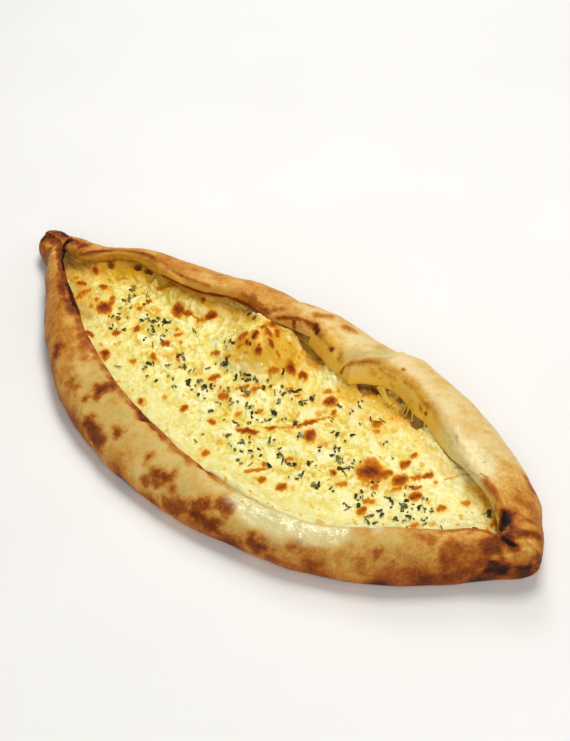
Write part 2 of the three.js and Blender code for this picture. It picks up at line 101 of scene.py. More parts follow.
# A lip: how far its tip is below the crest, its thickness, how far the wall behind it is set back, how far
# in from the tip the crest is, and the fullness of the rim's back, where 2 is an ellipse.
FORM_KEYS = ("drop", "thickness", "setback", "crest_inset", "fullness")
NEAR_FORM = (2.6, 2.6, 5, 5, 2)
FAR_FOLDS = [  # each begins at a station, over a step. The first is there from the knob on
    {
        "starts": -1e6, "step": 1, "form": (5.4, 3, 11, 4.5, 1.9),
        "lip": [
            [-168, 23.5], [-160, 22.5], [-150, 19.5], [-137, 14], [-127, 15], [-120, 20], [-112, 27],
            [-99, 31.5], [-85, 30.5], [-68, 29.5], [-58, 32.5], [-46, 38], [-34, 40.5], [-12, 41],
        ],
    },
    {
        "starts": -16, "step": 4, "form": (6.5, 3, 9, 5.5, 2),
        "lip": [[-20, 42], [-9, 44.5], [-1, 46], [6, 47]],
    },
    {
        "starts": 2, "step": 3, "form": (11, 3.5, 6.5, 7.5, 2),
        "lip": [[-2, 45.5], [4, 45.5], [9, 44], [19, 41], [30, 38.5], [40, 38]],
    },
    {
        "starts": 35, "step": 4.5, "form": (12.5, 3.2, 6, 8, 2),
        "lip": [
            [30, 35], [34.5, 36], [39, 40], [47, 44], [56, 45.8], [64, 44.5], [72, 42], [78, 41.5],
            [85, 38.8], [95, 33.5], [103, 30], [113, 27.5], [120, 26],
        ],
    },
    {
        "starts": 106, "step": 26, "form": (5.5, 3, 9, 5, 2),
        "lip": [
            [93, 33.5], [103, 28.5], [113, 25], [122, 22.5], [130, 19.5], [138, 15.5], [143, 11.5],
            [148, 7], [152, 5.8], [158, 8.5], [168, 12],
        ],
    },
]
ROLL = 3  # the fold that is a thick roll
ROLL_LAG = {"from": 48, "to": 70, "distance": 12, "reach": 26}
POCKET = {"from": -147.5, "to": 154, "opens_over": 6.5}
SEAM_DEPTH = 1.0
SEAM_WIDTH = 0.6
SMOOTHED_ENDS = {"knob": (-146, -151), "blunt": (147, 152)}  # where the seam has baked together
ARCH = 1.6  # of the dough over each baked-together end
SLENDER_RIM = 14.0  # where a rim is narrower than this, its lip is less far below its crest
# The most that a size may be, as a share of the rim's breadth, or of the whole width for the foot's inset.
MOST = {"foot_inset": 0.3, "setback": 0.55, "crest_inset": 0.5}

# The arcs of one rim's cross-section: where each ends, its steps, and whether it sets out level.
ARCS = [
    ("edge", 6, True), ("crest", 26, False), ("lip", 14, True),
    ("under", 6, False), ("wall", 8, True), ("floor", 8, False),
]
CREST_INDEX = sum(steps for _, steps, _ in ARCS[:2])
LIP_INDEX = sum(steps for _, steps, _ in ARCS[:3])
WALL_INDEX = LIP_INDEX + sum(steps for _, steps, _ in ARCS[3:5])
SOLE_STEPS = 24
RING_STEP = 0.9  # mm from one cross-section to the next
FOLD_RING_STEP = 0.45
END_RINGS = 9
END_ANGLES = (4, 80)  # degrees round each rounded end

# ---- The cheese's sizes, and stations [x, height] ----

CHEESE = {"from": -140.4, "to": 147.4, "level": 15.2}
END_DIP = {"depth": 1.5, "from": -142.4, "to": 149.4, "over": 22}  # the cheese is lower towards its ends
INTO_DOUGH = 0.8  # the cheese reaches this far into the dough round it
INTO_SOLE = 0.3
ROOF_GAP = 0.25
LIP_TIP = 1.0  # this near to a lip's tip, the cheese stays below it, but for what spills over
# The cheese climbs the far rim along one stretch, and flows over the near lip along another.
BANK = {"rise": 5.5, "width": 9, "past_lip": 1, "from": -140, "to": -26, "fade": 12}
OVERFLOW = {
    "rise": 4.4, "width": 12, "short_of_lip": 1, "from": 30, "to": 84, "fade": 14, "spill": 1.4,
}
FAR_MEETING = [  # how far the cheese climbs to meet the far lip
    [-30, 0], [0, 0.8], [14, 1.2], [23, 2.8], [40, 2.8], [45, 0.4], [52, 0.6], [62, 1.2], [70, 0.2],
    [80, 0.8], [88, 1.8], [98, 2.2], [112, 3.0], [120, 3.4], [130, 3.2], [150, 1.4],
]
MEETING = {"width": 9, "past_lip": 0.5}
TENT = {"x": -15, "y": 29, "height": 12, "length_x": 27, "length_y": 24, "fullness": 0.75}
HOLLOW = {"x": 7, "y": 49, "depth": 3.4, "length_x": 17, "length_y": 11}
PITS = [[-108, 21, 4], [-93, 30, 4.5], [-84, 30, 4], [42, 41, 4], [67, 42, 4], [75, 41, 4.5]]
PIT_DEPTH = 4.0
CHEESE_DEPTH = [  # how much deeper the cheese's tone is than its usual one
    [-140, 0.26], [-110, 0.22], [-70, 0.08], [-20, 0], [60, 0], [85, -0.12], [110, -0.26], [140, -0.26],
]
CHEESE_STEP = 0.55
CHEESE_COLUMNS = 183


# ---- Small helpers ----

GRAIN_SHIFT = (17.3, 5.1, 11.7)  # how far apart two seeds are in the noise
GRAIN_GAIN = 1.6


def mix(a, b, t):
    return a + (b - a) * t


def smoothstep(start, end, x):
    t = np.clip((x - start) / (end - start), 0, 1)
    return t * t * (3 - 2 * t)


def through(stations):
    """A smooth curve through the stations, level with its ends beyond them."""
    xs, ys = np.array(stations, float).T
    slopes = np.zeros_like(ys)
    slopes[1:-1] = (ys[2:] - ys[:-2]) / (xs[2:] - xs[:-2])

    def at(x):
        x = np.clip(x, xs[0], xs[-1])
        i = np.clip(np.searchsorted(xs, x) - 1, 0, len(xs) - 2)
        span = xs[i + 1] - xs[i]
        t = (x - xs[i]) / span
        ends = ys[i] * (2 * t**3 - 3 * t**2 + 1) + ys[i + 1] * (3 * t**2 - 2 * t**3)
        return ends + span * (slopes[i] * (t**3 - 2 * t**2 + t) + slopes[i + 1] * (t**3 - t**2))

    return at


def grain(points, size, seed):
    """Smooth unevenness between about -1 and 1, with lumps of that size in millimetres."""
    places = points.reshape(-1, 3) / size + np.array(GRAIN_SHIFT) * seed
    return GRAIN_GAIN * np.array([noise.noise(place) for place in places.tolist()])


def layered(points, layers):
    """Unevenness of several sizes. Each layer is (size of its lumps in mm, amount, seed)."""
    return sum(amount * grain(points, size, seed) for size, amount, seed in layers)


def hump(x, y, form):
    """A smooth rise, from 1 in its middle to 0 at its edge."""
    r2 = ((x - form["x"]) / form["length_x"]) ** 2 + ((y - form["y"]) / form["length_y"]) ** 2
    return np.clip(1 - r2, 0, 1) ** 2


def grid_faces(rows, columns, closed):
    """Quads between the points of a grid. closed joins each row's last point to its first."""
    i, j = np.meshgrid(np.arange(rows - 1), np.arange(columns if closed else columns - 1), indexing="ij")
    k = (j + 1) % columns
    quads = [i * columns + j, i * columns + k, (i + 1) * columns + k, (i + 1) * columns + j]
    return np.stack(quads, -1).reshape(-1, 4).tolist()


def fan(row_start, columns, pole, flip):
    """Triangles from a pole to a closed row of points."""
    ring = [(row_start + j, row_start + (j + 1) % columns) for j in range(columns)]
    return [(pole, b, a) if flip else (pole, a, b) for a, b in ring]


def border(rows, columns):
    """The points round a grid, in order."""
    index = np.arange(rows * columns).reshape(rows, columns)
    return np.concatenate([index[0], index[1:, -1], index[-1, -2::-1], index[-2:0:-1, 0]]).tolist()


def walls(row, other):
    """Quads between two closed rows of points."""
    return list(zip(row, row[1:] + row[:1], other[1:] + other[:1], other))


def mesh_object(name, points, faces):
    mesh = bpy.data.meshes.new(name)
    mesh.from_pydata(((np.asarray(points) + to_frame()) * MM).tolist(), [], faces)
    mesh.shade_smooth()
    obj = bpy.data.objects.new(name, mesh)
    bpy.context.scene.collection.objects.link(obj)
    return obj


def to_frame():
    """From the stations' own origin to the frame's, which is under the middle of the pide."""
    low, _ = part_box("crust")
    lowest_y = through(NEAR_EDGE)(np.arange(KNOB_END_X, BLUNT_END_X)).min()
    return np.array([low.x / MM - KNOB_END_X, low.y / MM - lowest_y, 0])


def put_fields(obj, fields):
    """Stores each field on the mesh's points. Points beyond the field's end take its first values."""
    for name, values in fields.items():
        layer = obj.data.attributes.new(name, "FLOAT", "POINT")
        layer.data.foreach_set("value", np.resize(values, len(obj.data.vertices)).astype(np.float32))


# ---- Looking through the camera ----

def view_axes():
    """Unit vectors to the right of the view, up it, and back towards the eye."""
    az, el = math.radians(VIEW["azimuth"]), math.radians(VIEW["elevation"])
    back = Vector((math.sin(az) * math.cos(el), -math.cos(az) * math.cos(el), math.sin(el)))
    right = Vector((math.cos(az), math.sin(az), 0))
    return right, back.cross(right), back


RIGHT, UP, BACK = view_axes()
EYE = Vector(VIEW["target"]) + BACK * VIEW["distance"]
AWAY = -np.array([BACK.x, BACK.y, 0]) / math.cos(math.radians(VIEW["elevation"]))  # from the eye, level


def surface_of(points, faces):
    return BVHTree.FromPolygons([Vector(p) for p in points.tolist()], faces)


def seen_at(surface, u, v):
    """The point of a surface, and its normal, that shows at a pixel. Just past its edge, the nearest one."""
    x, y = (u - VIEW["width"] / 2) / VIEW["focal"], (v - VIEW["height"] / 2) / VIEW["focal"]
    direction = (RIGHT * x - UP * y - BACK).normalized()
    point, normal, _, _ = surface.ray_cast(EYE, direction)
    if point is None:
        level = EYE + direction * ((VIEW["target"][2] - EYE.z) / direction.z)
        point, normal, _, _ = surface.find_nearest(level)
    return point, normal


def distance_to_line(points, line):
    """Distance of each point to a line of points, in millimetres."""
    if len(line) == 1:
        return np.linalg.norm(points - line[0], axis=1)
    nearest = np.full(len(points), np.inf)
    for a, b in zip(line[:-1], line[1:]):
        along = b - a
        share = np.clip((points - a) @ along / max(along @ along, 1e-9), 0, 1)
        nearest = np.minimum(nearest, np.linalg.norm(points - a - share[:, None] * along, axis=1))
    return nearest


def strokes_on(points, surface, strokes, ragged, softness, stretch=1.0):
    """How strongly the strokes mark each point. A stroke is (radius in mm, strength, pixels along it).
    ragged is unevenness that moves each point's distance, by up to that share of the radius. softness is
    how wide the fade is at the edge. stretch lengthens each stroke away from the eye, because what bulges
    up shows rounder than what lies flat."""
    squeeze = np.eye(3) - (1 - 1 / stretch) * np.outer(AWAY, AWAY)
    field = np.zeros(len(points))
    for radius, strength, pixels in strokes:
        line = np.array([seen_at(surface, u, v)[0] for u, v in pixels])
        low, high = line.min(0) - 2 * stretch * radius, line.max(0) + 2 * stretch * radius
        near = np.flatnonzero(((points > low) & (points < high)).all(1))
        reach = distance_to_line(points[near] @ squeeze, line @ squeeze) / radius + ragged[near]
        mark = strength * smoothstep(1 + softness / 2, max(0, 1 - softness), reach)
        field[near] = np.maximum(field[near], mark)
    return field


# ---- The dough's shape ----

near_edge, far_edge = through(NEAR_EDGE), through(FAR_EDGE)
near_lip, near_crest, far_crest = through(NEAR_LIP), through(NEAR_CREST), through(FAR_CREST)
widest_at = through(WIDEST_AT)


def fold_shares(x):
    """How much of each fold there is at each station. The shares add up to 1."""
    begun = [smoothstep(f["starts"] - f["step"] / 2, f["starts"] + f["step"] / 2, x) for f in FAR_FOLDS]
    return [share - after for share, after in zip(begun, begun[1:] + [np.zeros_like(x)])]


def far_lip(x):
    return sum(share * through(fold["lip"])(x) for share, fold in zip(fold_shares(x), FAR_FOLDS))


def far_form(x):
    shares = fold_shares(x)
    sizes = [sum(s * f["form"][i] for s, f in zip(shares, FAR_FOLDS)) for i in range(len(FORM_KEYS))]
    return dict(zip(FORM_KEYS, sizes))


def openness(x):
    """1 where the pocket is open and 0 where it is shut."""
    opens = smoothstep(POCKET["from"], POCKET["from"] + POCKET["opens_over"], x)
    return opens * smoothstep(POCKET["to"], POCKET["to"] - POCKET["opens_over"], x)


def rim_points(side, x, edge, lip, crest_z, form):
    """The named points of one rim's cross-section at each station. side is -1 near and 1 far."""
    breadth = np.abs(edge - lip)
    lip_z = crest_z - form["drop"] * np.minimum(1, breadth / SLENDER_RIM) ** 2
    setback = np.minimum(form["setback"], MOST["setback"] * breadth)
    foot_inset = np.minimum(FOOT_INSET, MOST["foot_inset"] * (far_edge(x) - near_edge(x)))
    under_z = lip_z - form["thickness"]
    return {
        "foot": (edge - side * foot_inset, 0 * x),
        "edge": (edge, widest_at(x)),
        "crest": (lip + side * np.minimum(form["crest_inset"], MOST["crest_inset"] * breadth), crest_z),
        "lip": (lip, lip_z),
        "under": (lip + side * form["thickness"], under_z),
        "wall": (lip + side * setback, (under_z + SOLE) / 2),
        "floor": (lip + side * (setback - POCKET_TUCK), SOLE + 0 * x),
    }


def rim_path(rim, fullness):
    """One rim's cross-section, from its foot over its crest and lip to the pocket's floor."""
    path = [np.stack(np.broadcast_arrays(*rim["foot"]), -1)]
    for name, steps, level in ARCS:
        start = path[-1]
        y, z = rim[name]
        power = 2 / fullness if name == "crest" else 1.0
        for k in range(1, steps + 1):
            angle = k / steps * math.pi / 2
            rising, late = math.sin(angle) ** power, 1 - math.cos(angle) ** power
            shares = (rising, late) if level else (late, rising)
            path.append(np.stack([mix(start[:, 0], y, shares[0]), mix(start[:, 1], z, shares[1])], -1))
    return np.stack(path, 1)


def shut(path, opened, seam_y, seam_z):
    """Where the pocket is shut, the path runs on from the lip to the seam."""
    last = path.shape[1] - 1
    share = np.clip((np.arange(last + 1) - LIP_INDEX) / (last - LIP_INDEX), 0, 1)
    seam = np.stack([seam_y, seam_z], -1)[:, None]
    straight = mix(path[:, LIP_INDEX][:, None], seam, share[None, :, None])
    lifted = mix(straight, path, opened[:, None, None])
    return np.where((share > 0)[None, :, None], lifted, path)


def rim_sections(x):
    """The near and the far rim's cross-sections at each station."""
    near_form = dict(zip(FORM_KEYS, NEAR_FORM))
    form = far_form(x)
    near = rim_points(-1, x, near_edge(x), near_lip(x), near_crest(x), near_form)
    far = rim_points(1, x, far_edge(x), far_lip(x), far_crest(x), form)
    lapped = np.minimum(1, np.abs(near["lip"][0] - near["edge"][0]) / SLENDER_RIM) ** 2
    seam_y = (near["lip"][0] + far["lip"][0]) / 2
    seam_z = np.minimum(near["lip"][1], far["lip"][1]) - SEAM_DEPTH * lapped
    opened = openness(x)
    near_path = shut(rim_path(near, near_form["fullness"]), opened, seam_y - SEAM_WIDTH / 2, seam_z)
    far_path = shut(rim_path(far, form["fullness"]), opened, seam_y + SEAM_WIDTH / 2, seam_z)
    return near_path, far_path


def baked_together(x, near, far):
    """Over each end, where the seam has closed, raises the tops of both rims to one smooth arch."""
    closed = np.maximum(smoothstep(*SMOOTHED_ENDS["knob"], x), smoothstep(*SMOOTHED_ENDS["blunt"], x))
    start, end = near[:, CREST_INDEX][:, None], far[:, CREST_INDEX][:, None]
    for path in (near, far):
        top = path[:, CREST_INDEX:]
        share = np.clip((top[..., 0] - start[..., 0]) / (end[..., 0] - start[..., 0]), 0, 1)
        arch = mix(start[..., 1], end[..., 1], share) + ARCH * 4 * share * (1 - share)
        top[..., 1] = mix(top[..., 1], np.maximum(arch, top[..., 1]), closed[:, None])


def end_scale(x):
    """How much of its full size each cross-section has, where the ends are rounded off."""
    knob = np.clip((KNOB_END_X + KNOB_ROUNDING - x) / KNOB_ROUNDING, 0, 1)
    blunt = np.clip((x - BLUNT_END_X + BLUNT_ROUNDING) / BLUNT_ROUNDING, 0, 1)
    return np.sqrt(1 - np.maximum(knob, blunt) ** 2)


def dough_stations():
    """Where the cross-sections are along the pide, closer together at the ends and the folds."""
    ends = np.radians(np.linspace(*END_ANGLES, END_RINGS))
    knob = KNOB_END_X + KNOB_ROUNDING * (1 - np.cos(ends))
    blunt = BLUNT_END_X - BLUNT_ROUNDING + BLUNT_ROUNDING * np.cos(ends[::-1])
    body = [KNOB_END_X + KNOB_ROUNDING]
    while body[-1] < BLUNT_END_X - BLUNT_ROUNDING - RING_STEP:
        at_fold = any(abs(body[-1] - f["starts"]) < f["step"] for f in FAR_FOLDS)
        body.append(body[-1] + (FOLD_RING_STEP if at_fold else RING_STEP))
    return np.concatenate([knob, body, blunt])


def lag(x, y):
    """How far a point of the far rim trails its station, so that the roll's edge runs out obliquely."""
    at_roll = np.clip(1 - ((x - FAR_FOLDS[ROLL]["starts"]) / ROLL_LAG["reach"]) ** 2, 0, 1) ** 2
    return ROLL_LAG["distance"] * at_roll * smoothstep(ROLL_LAG["from"], ROLL_LAG["to"], y)


def dough_grid():
    """Points (rings, around, 3) of the dough, and how far round its arcs each column is on each side."""
    x = dough_stations()
    near, far = rim_sections(x)
    baked_together(x, near, far)
    share = np.linspace(0, 1, SOLE_STEPS + 2)[1:-1]
    sole = mix(far[:, 0][:, None], near[:, 0][:, None], share[None, :, None])
    section = np.concatenate([near, far[:, ::-1], sole], 1)
    scale = end_scale(x)[:, None]
    middle_y = ((near_edge(x) + far_edge(x)) / 2)[:, None]
    middle_z = widest_at(x)[:, None]
    y, z = section[..., 0], section[..., 1]
    station = np.repeat(x[:, None], section.shape[1], 1)
    points = np.stack([station + lag(station, y), mix(middle_y, y, scale), mix(middle_z, z, scale)], -1)
    ends = [(KNOB_END_X, 0), (BLUNT_END_X, -1)]
    poles = [[px, middle_y[i, 0], middle_z[i, 0]] for px, i in ends]
    return points, np.array(poles), near.shape[1]


def grid_normals(points):
    """Outward normals of a closed lofted grid."""
    around = np.roll(points, -1, 1) - np.roll(points, 1, 1)
    along = np.gradient(points, axis=0)
    normals = np.cross(around, along)
    return normals / np.maximum(np.linalg.norm(normals, axis=2, keepdims=True), 1e-9)


# ---- Where the dough is baked: (radius in mm, strength, pixels) ----

BURNS = [
    (1.5, 1.0, [(72, 241), (67, 244.5), (63, 249), (61.5, 255)]),
    (2.2, 1.0, [(63, 251), (62.5, 262), (65, 271)]),
    (3.0, 1.0, [(66, 272), (69, 285)]),
    (3.6, 1.0, [(70, 286), (72, 297)]),
    (3.8, 1.0, [(72, 298), (75, 305)]),
    (2.0, 0.9, [(76, 307), (78.5, 314)]),
    (5.0, 1.15, [(505, 513), (506, 521), (503, 530)]),
    (2.2, 1.0, [(502, 531), (503, 538)]),
    (1.6, 1.1, [(503, 538), (509, 542), (515, 546)]),
    (1.5, 0.9, [(41, 240), (46, 236), (53, 233), (62, 233), (68, 238)]),
    (1.0, 0.88, [(49, 236), (55, 235.5)]),
]
BLOTCHES = [
    (6.5, 0.72, [(56, 347), (54, 357)]),
    (5.5, 0.62, [(70, 380), (73, 386)]),
    (5.0, 0.78, [(98, 390), (105, 387), (111, 385)]),
    (3.0, 0.6, [(84, 399)]),
    (4.0, 0.54, [(82, 334), (86, 346)]),
    (3.5, 0.48, [(82, 358)]),
    (6.5, 0.7, [(90, 430), (98, 438)]),
    (4.2, 0.66, [(85, 424)]),
    (4.4, 0.7, [(118, 431)]),
    (4.2, 0.64, [(148, 456)]),
    (5.6, 0.68, [(156, 475), (168, 478)]),
    (4.0, 0.62, [(145, 481)]),
    (3.6, 0.62, [(172, 488)]),
    (7.5, 0.66, [(170, 508), (188, 511), (201, 506)]),
    (7.0, 0.72, [(192, 514), (212, 527)]),
    (5.5, 0.66, [(208, 540), (225, 538)]),
    (5.0, 0.66, [(221, 505), (227, 502)]),
    (4.5, 0.62, [(239, 543)]),
    (6.0, 0.7, [(253, 545), (263, 547)]),
    (6.0, 0.54, [(294, 547), (312, 551)]),
    (4.4, 0.7, [(377, 553)]),
    (5.0, 0.46, [(352, 530), (370, 530)]),
    (4.0, 0.52, [(422, 535), (432, 538)]),
    (6.5, 0.56, [(452, 552), (470, 551), (486, 551)]),
    (8.0, 0.64, [(447, 564), (470, 562), (486, 563)]),
    (6.0, 0.6, [(505, 566), (520, 562), (534, 560)]),
    (8.0, 0.7, [(446, 577), (466, 572)]),
    (6.5, 0.7, [(486, 549), (497, 544)]),
    (3.0, 0.7, [(510, 546), (516, 548)]),
    (4.0, 0.48, [(474, 541), (490, 541)]),
    (8.0, 0.94, [(492, 571), (499, 571)]),
    (8.0, 0.94, [(523, 569), (530, 568)]),
    (6.0, 0.8, [(509, 512), (511, 522), (507, 532)]),
    (3.4, 0.62, [(514, 522), (526, 520), (536, 524)]),
    (2.6, 0.72, [(512, 532), (524, 534), (537, 535)]),
    (8.0, 0.5, [(520, 500), (534, 514), (538, 530)]),
    (5.0, 0.54, [(528, 480), (535, 494)]),
    (4.0, 0.78, [(75, 242), (82, 245)]),
    (1.3, 0.84, [(91, 244)]),
    (4.5, 0.7, [(62, 278), (63, 290), (67, 304), (73, 312)]),
    (3.5, 0.66, [(44, 256), (50, 251)]),
    (4.0, 0.66, [(49, 264), (47, 272)]),
    (2.6, 0.74, [(42, 241), (50, 236), (62, 235), (69, 240)]),
    (2.4, 0.62, [(42, 246), (45, 252)]),
    (5.0, 0.6, [(245, 299), (256, 306), (264, 312)]),
    (3.4, 0.56, [(276, 308), (287, 309)]),
    (3.0, 0.46, [(318, 315), (330, 318)]),
    (3.0, 0.46, [(346, 328), (354, 331)]),
    (3.0, 0.42, [(381, 347)]),
    (2.4, 0.86, [(315, 327), (317, 332)]),
    (1.6, 0.78, [(294, 321), (294, 327)]),
    (3.4, 0.56, [(321, 336), (332, 349)]),
    (1.5, 0.86, [(332, 349)]),
    (3.0, 0.5, [(340, 357)]),
    (2.6, 0.5, [(388, 374), (393, 378)]),
    (2.0, 0.42, [(380, 368), (384, 374)]),
    (1.8, 0.4, [(372, 370), (374, 377)]),
    (1.2, 0.7, [(379.5, 380)]),
    (1.6, 0.55, [(390, 385), (392, 388)]),
    (1.2, 0.7, [(403, 369)]),
    (1.2, 0.74, [(455, 437)]),
    (1.3, 0.78, [(426, 414)]),
    (1.5, 0.64, [(420, 406), (421, 410)]),
    (2.0, 0.5, [(410, 401)]),
    (9.0, 0.4, [(70, 330), (62, 362), (70, 390)]),
]
BROWN_EDGES_AND_SHADE_LINE = [  # browned lines along the folds, and a painted shade line
    (2.0, 0.74, [(80, 256), (92, 254), (104, 250.5), (119, 250), (130, 252), (147, 256), (158, 263)]),
    (1.9, 0.5, [(158, 264), (166, 269), (178, 274), (192, 280), (208, 286)]),
    (1.5, 0.74, [(163, 275), (173, 281), (184, 286.5), (198, 292), (208, 294.5), (218, 296), (230, 298.5)]),
    (2.2, 0.74, [(228, 298), (242, 303), (253, 309), (262, 315), (268, 321)]),
    (1.6, 0.66, [(266, 321), (278, 318), (292, 318), (303, 320), (312, 325)]),
    # painted shade: the dark line under the fold's edge
    (1.1, 0.8, [(291, 331), (300, 334), (310, 338)]),
    (3.0, 0.42, [(312, 324), (319, 331), (331, 342), (338, 351), (341, 362)]),
    (1.0, 0.72, [(342, 380), (343, 373), (346.5, 367)]),
    (1.3, 0.5, [(347, 367), (355, 363), (370, 361.5), (380, 363)]),
    (3.4, 0.35, [(360, 362), (385, 366), (397, 373), (407, 380), (416, 388), (426, 402), (435, 416)]),
    (1.8, 0.44, [(374, 364), (386, 367), (396, 374)]),
    (1.9, 0.48, [(405, 382), (414, 389), (422, 399), (430, 409)]),
    (1.6, 0.33, [(433, 414), (443, 429), (449, 439)]),
    (1.3, 0.5, [(471, 476), (476, 486), (484, 494), (490, 500)]),
    (2.2, 0.5, [(484, 480), (493, 491), (501, 503), (505, 511)]),
    (1.0, 0.52, [(452, 531), (466, 529), (481, 528), (491, 532), (500, 537)]),
]
PALE_PATCHES_AND_PAINTED_HIGHLIGHT = [  # where the dough is less baked, and a painted highlight
    (7.0, 0.5, [(392, 362), (408, 372), (425, 388), (440, 408)]),
    (6.0, 0.5, [(300, 306), (330, 322), (352, 340)]),
    (6.0, 0.5, [(458, 448), (472, 462), (488, 470)]),
    (2.6, 1.2, [(490, 504), (496, 515), (498, 525)]),
    (8.0, 0.6, [(215, 480), (245, 500), (290, 520), (330, 530), (380, 535)]),
    (6.0, 0.5, [(120, 410), (140, 440), (165, 462)]),
    (5.0, 0.5, [(74, 310), (72, 322), (80, 372)]),
    (4.5, 1.0, [(51, 246), (57, 251)]),
    # painted highlight: the lit side of the crease by the knob
    (1.8, 1.2, [(64, 242), (60, 248), (58.5, 255)]),
    (5.0, 0.9, [(508, 551), (522, 550), (533, 553)]),
    (6.0, 0.8, [(430, 537), (455, 538), (480, 536)]),
    (5.0, 0.7, [(510, 505), (525, 502), (528, 512)]),
    (2.4, 1.2, [(512, 538), (524, 540), (534, 541)]),
    (5.0, 0.8, [(98, 246), (125, 248)]),
]
CREASES = [  # (radius in mm, depth in mm, pixels). A depth below 0 is a ridge
    (1.2, 1.7, [(72, 240), (67, 244), (62.5, 249), (61, 256)]),
    (0.9, 0.7, [(61, 256), (55, 258), (50, 260)]),
    (1.4, 1.6, [(341, 379), (343, 371), (348, 365), (356, 360.5), (370, 358.5), (386, 357), (402, 354)]),
    (1.4, 1.0, [(262, 317), (272, 316), (284, 314), (300, 312)]),
    (1.2, -0.7, [(84, 255), (104, 250), (119, 248.5), (130, 250), (147, 254), (160, 262), (180, 277)]),
    (1.5, 0.9, [(80, 259), (104, 254.5), (119, 253), (130, 255), (147, 259), (160, 267), (180, 281)]),
    (1.0, 1.0, [(503, 539), (509, 542), (515, 546)]),
    (1.6, 0.5, [(510, 532), (524, 534), (537, 536)]),
    (1.0, 0.8, [(471, 475), (477, 486), (485, 495), (491, 501)]),
    (0.9, 0.5, [(250, 505), (262, 514), (272, 521), (286, 525), (305, 524)]),
    (0.8, 0.4, [(246, 496), (262, 507), (280, 517)]),
]
NEAR_BAKE = [
    [-168, 0.4], [-150, 0.42], [-135, 0.41], [-112, 0.38], [-80, 0.31], [-40, 0.25], [20, 0.2],
    [60, 0.25], [95, 0.3], [125, 0.38], [168, 0.4],
]
FAR_BAKE = [
    [-168, 0.48], [-150, 0.5], [-130, 0.46], [-100, 0.37], [-60, 0.34], [-30, 0.3], [0, 0.22],
    [32, 0.15], [40, 0.08], [80, 0.09], [110, 0.14], [135, 0.24], [168, 0.44],
]
BASE_TOAST = 0.3  # more bake low down on the outside
TAN_AND_PAINTED_SHADE_AREAS = [  # where the dough is tan under its browning, and painted shade
    (13.0, 0.9, [(98, 372), (110, 405), (140, 440), (170, 470), (230, 515), (320, 535), (400, 545)]),
    # painted shade: the band beside the roll's crest, where the roll shades the far rim
    (5.0, 0.8, [(346, 353), (362, 354), (380, 352), (396, 349)]),
]
NEAR_LIP_BAKE = [
    [-140, 0.7], [-112, 0.64], [-96, 0.56], [-86, 0.6], [-76, 0.56], [-70, 0.5], [-58, 0.5], [-48, 0.56],
    [-40, 0.5], [-28, 0.54], [-18, 0.84], [-11, 0.62], [4, 0.5], [18, 0.54], [25, 0.82], [31, 0.5],
    [44, 0.34], [60, 0.22], [95, 0.18], [118, 0.26], [132, 0.44], [144, 0.5], [150, 0.5], [156, 0.3],
]
MELT_FILM = [  # melted cheese that has run over the near lip, as it shows on the dough and on the cheese
    (6.0, 1.0, [(244, 498), (262, 511), (282, 521), (305, 527), (338, 530)]),
    (4.5, 0.9, [(250, 514), (272, 528), (305, 534), (335, 535)]),
    (3.2, 1.0, [(224, 479), (240, 490), (256, 500), (272, 507), (288, 514)]),
    (3.0, 0.8, [(345, 525), (378, 528)]),
]
# A thin wet film round the shreds on the far rim, and a painted highlight along that rim's edge in the film's
# pale colour, glossy like the film.
RIM_MELT = [(8.0, 0.9, [(448, 441), (462, 455), (474, 466)]), (6.0, 0.8, [(474, 443), (486, 458)])]
RIM_EDGE_PAINTED_HIGHLIGHT = [(1.4, 0.6, [(441, 430), (447, 440), (456, 454), (464, 466)])]
INNER_BANDS = [  # where the inner side of the far rim shows
    (2.4, 0.8, [(76, 257), (92, 258.5), (106, 255), (119, 254), (130, 256), (147, 260), (158, 267)]),
    (1.4, 0.6, [(163, 270), (177, 277), (189, 283), (201, 288), (217, 290), (233, 294), (246, 300)]),
]
OIL_AND_PAINTED_LIGHT_BANDS = [  # where the far rim's inner side is yellow with oil, and painted light
    (2.0, 1.0, [(90, 258), (106, 255.5), (130, 256.5), (147, 261), (165, 273), (183, 283)]),
    (4.5, 1.0, [(326, 346), (334, 356), (339, 366)]),
    # painted light: this band brightens the roll's face, which lies in shade
    (3.4, 0.8, [(374, 367), (396, 378), (414, 394), (434, 420)]),
    # painted light: these bands brighten the wall by the blunt end, which lies in shade
    (3.0, 1.2, [(474, 486), (484, 498), (492, 510)]),
    (2.2, 1.1, [(493, 511), (497, 519), (498, 527)]),
    (2.0, 0.4, [(440, 442), (450, 456)]),
]


# Each set of browning strokes, with a painted shade line among the edges, how uneven its edge is and how
# soft.
BROWNING_AND_PAINTED_SHADE = [(BROWN_EDGES_AND_SHADE_LINE, 0.5, 1.5), (BLOTCHES, 0.9, 1.6), (BURNS, 0.35, 1.2)]
# Layers of unevenness: (size of the lumps in mm, amount, seed).
BAKE_CLOUDS = [(26, 0.09, 3), (13, 0.07, 1), (4, 0.04, 2), (1.7, 0.03, 4)]
BAKE_RAGGEDNESS = [(13, 0.4, 1), (4, 0.34, 2), (1.7, 0.2, 4)]
TOAST_CLOUDS = [(13, 0.7, 1)]
LIP_CLOUDS = [(4, 0.15, 2)]
LIP_STEPS_UNEVEN = [(9, 2, 12), (4, 1.5, 13)]
STROKE_RAGGEDNESS = [(7, 0.35, 6)]
DOUGH_RELIEF = [(32, 0.75, 7), (12, 0.4, 8), (3.6, 0.1, 9), (1.5, 0.05, 10)]
FILM_RELIEF = [(3.2, 0.3, 11), (1.4, 0.12, 14)]
FILM_THICKNESS = 0.35
BROWN_RELIEF = 0.5  # browned dough has puffed up by this
BROWN_BAKES = (0.55, 0.8)
PALENESS = 0.2  # a pale patch, or the painted highlight, is less baked by its strength times this
INNER_BAKE = 0.3  # the pocket's inside is baked no more than this
INNER_RELIEF = 0.4  # and has this share of the relief
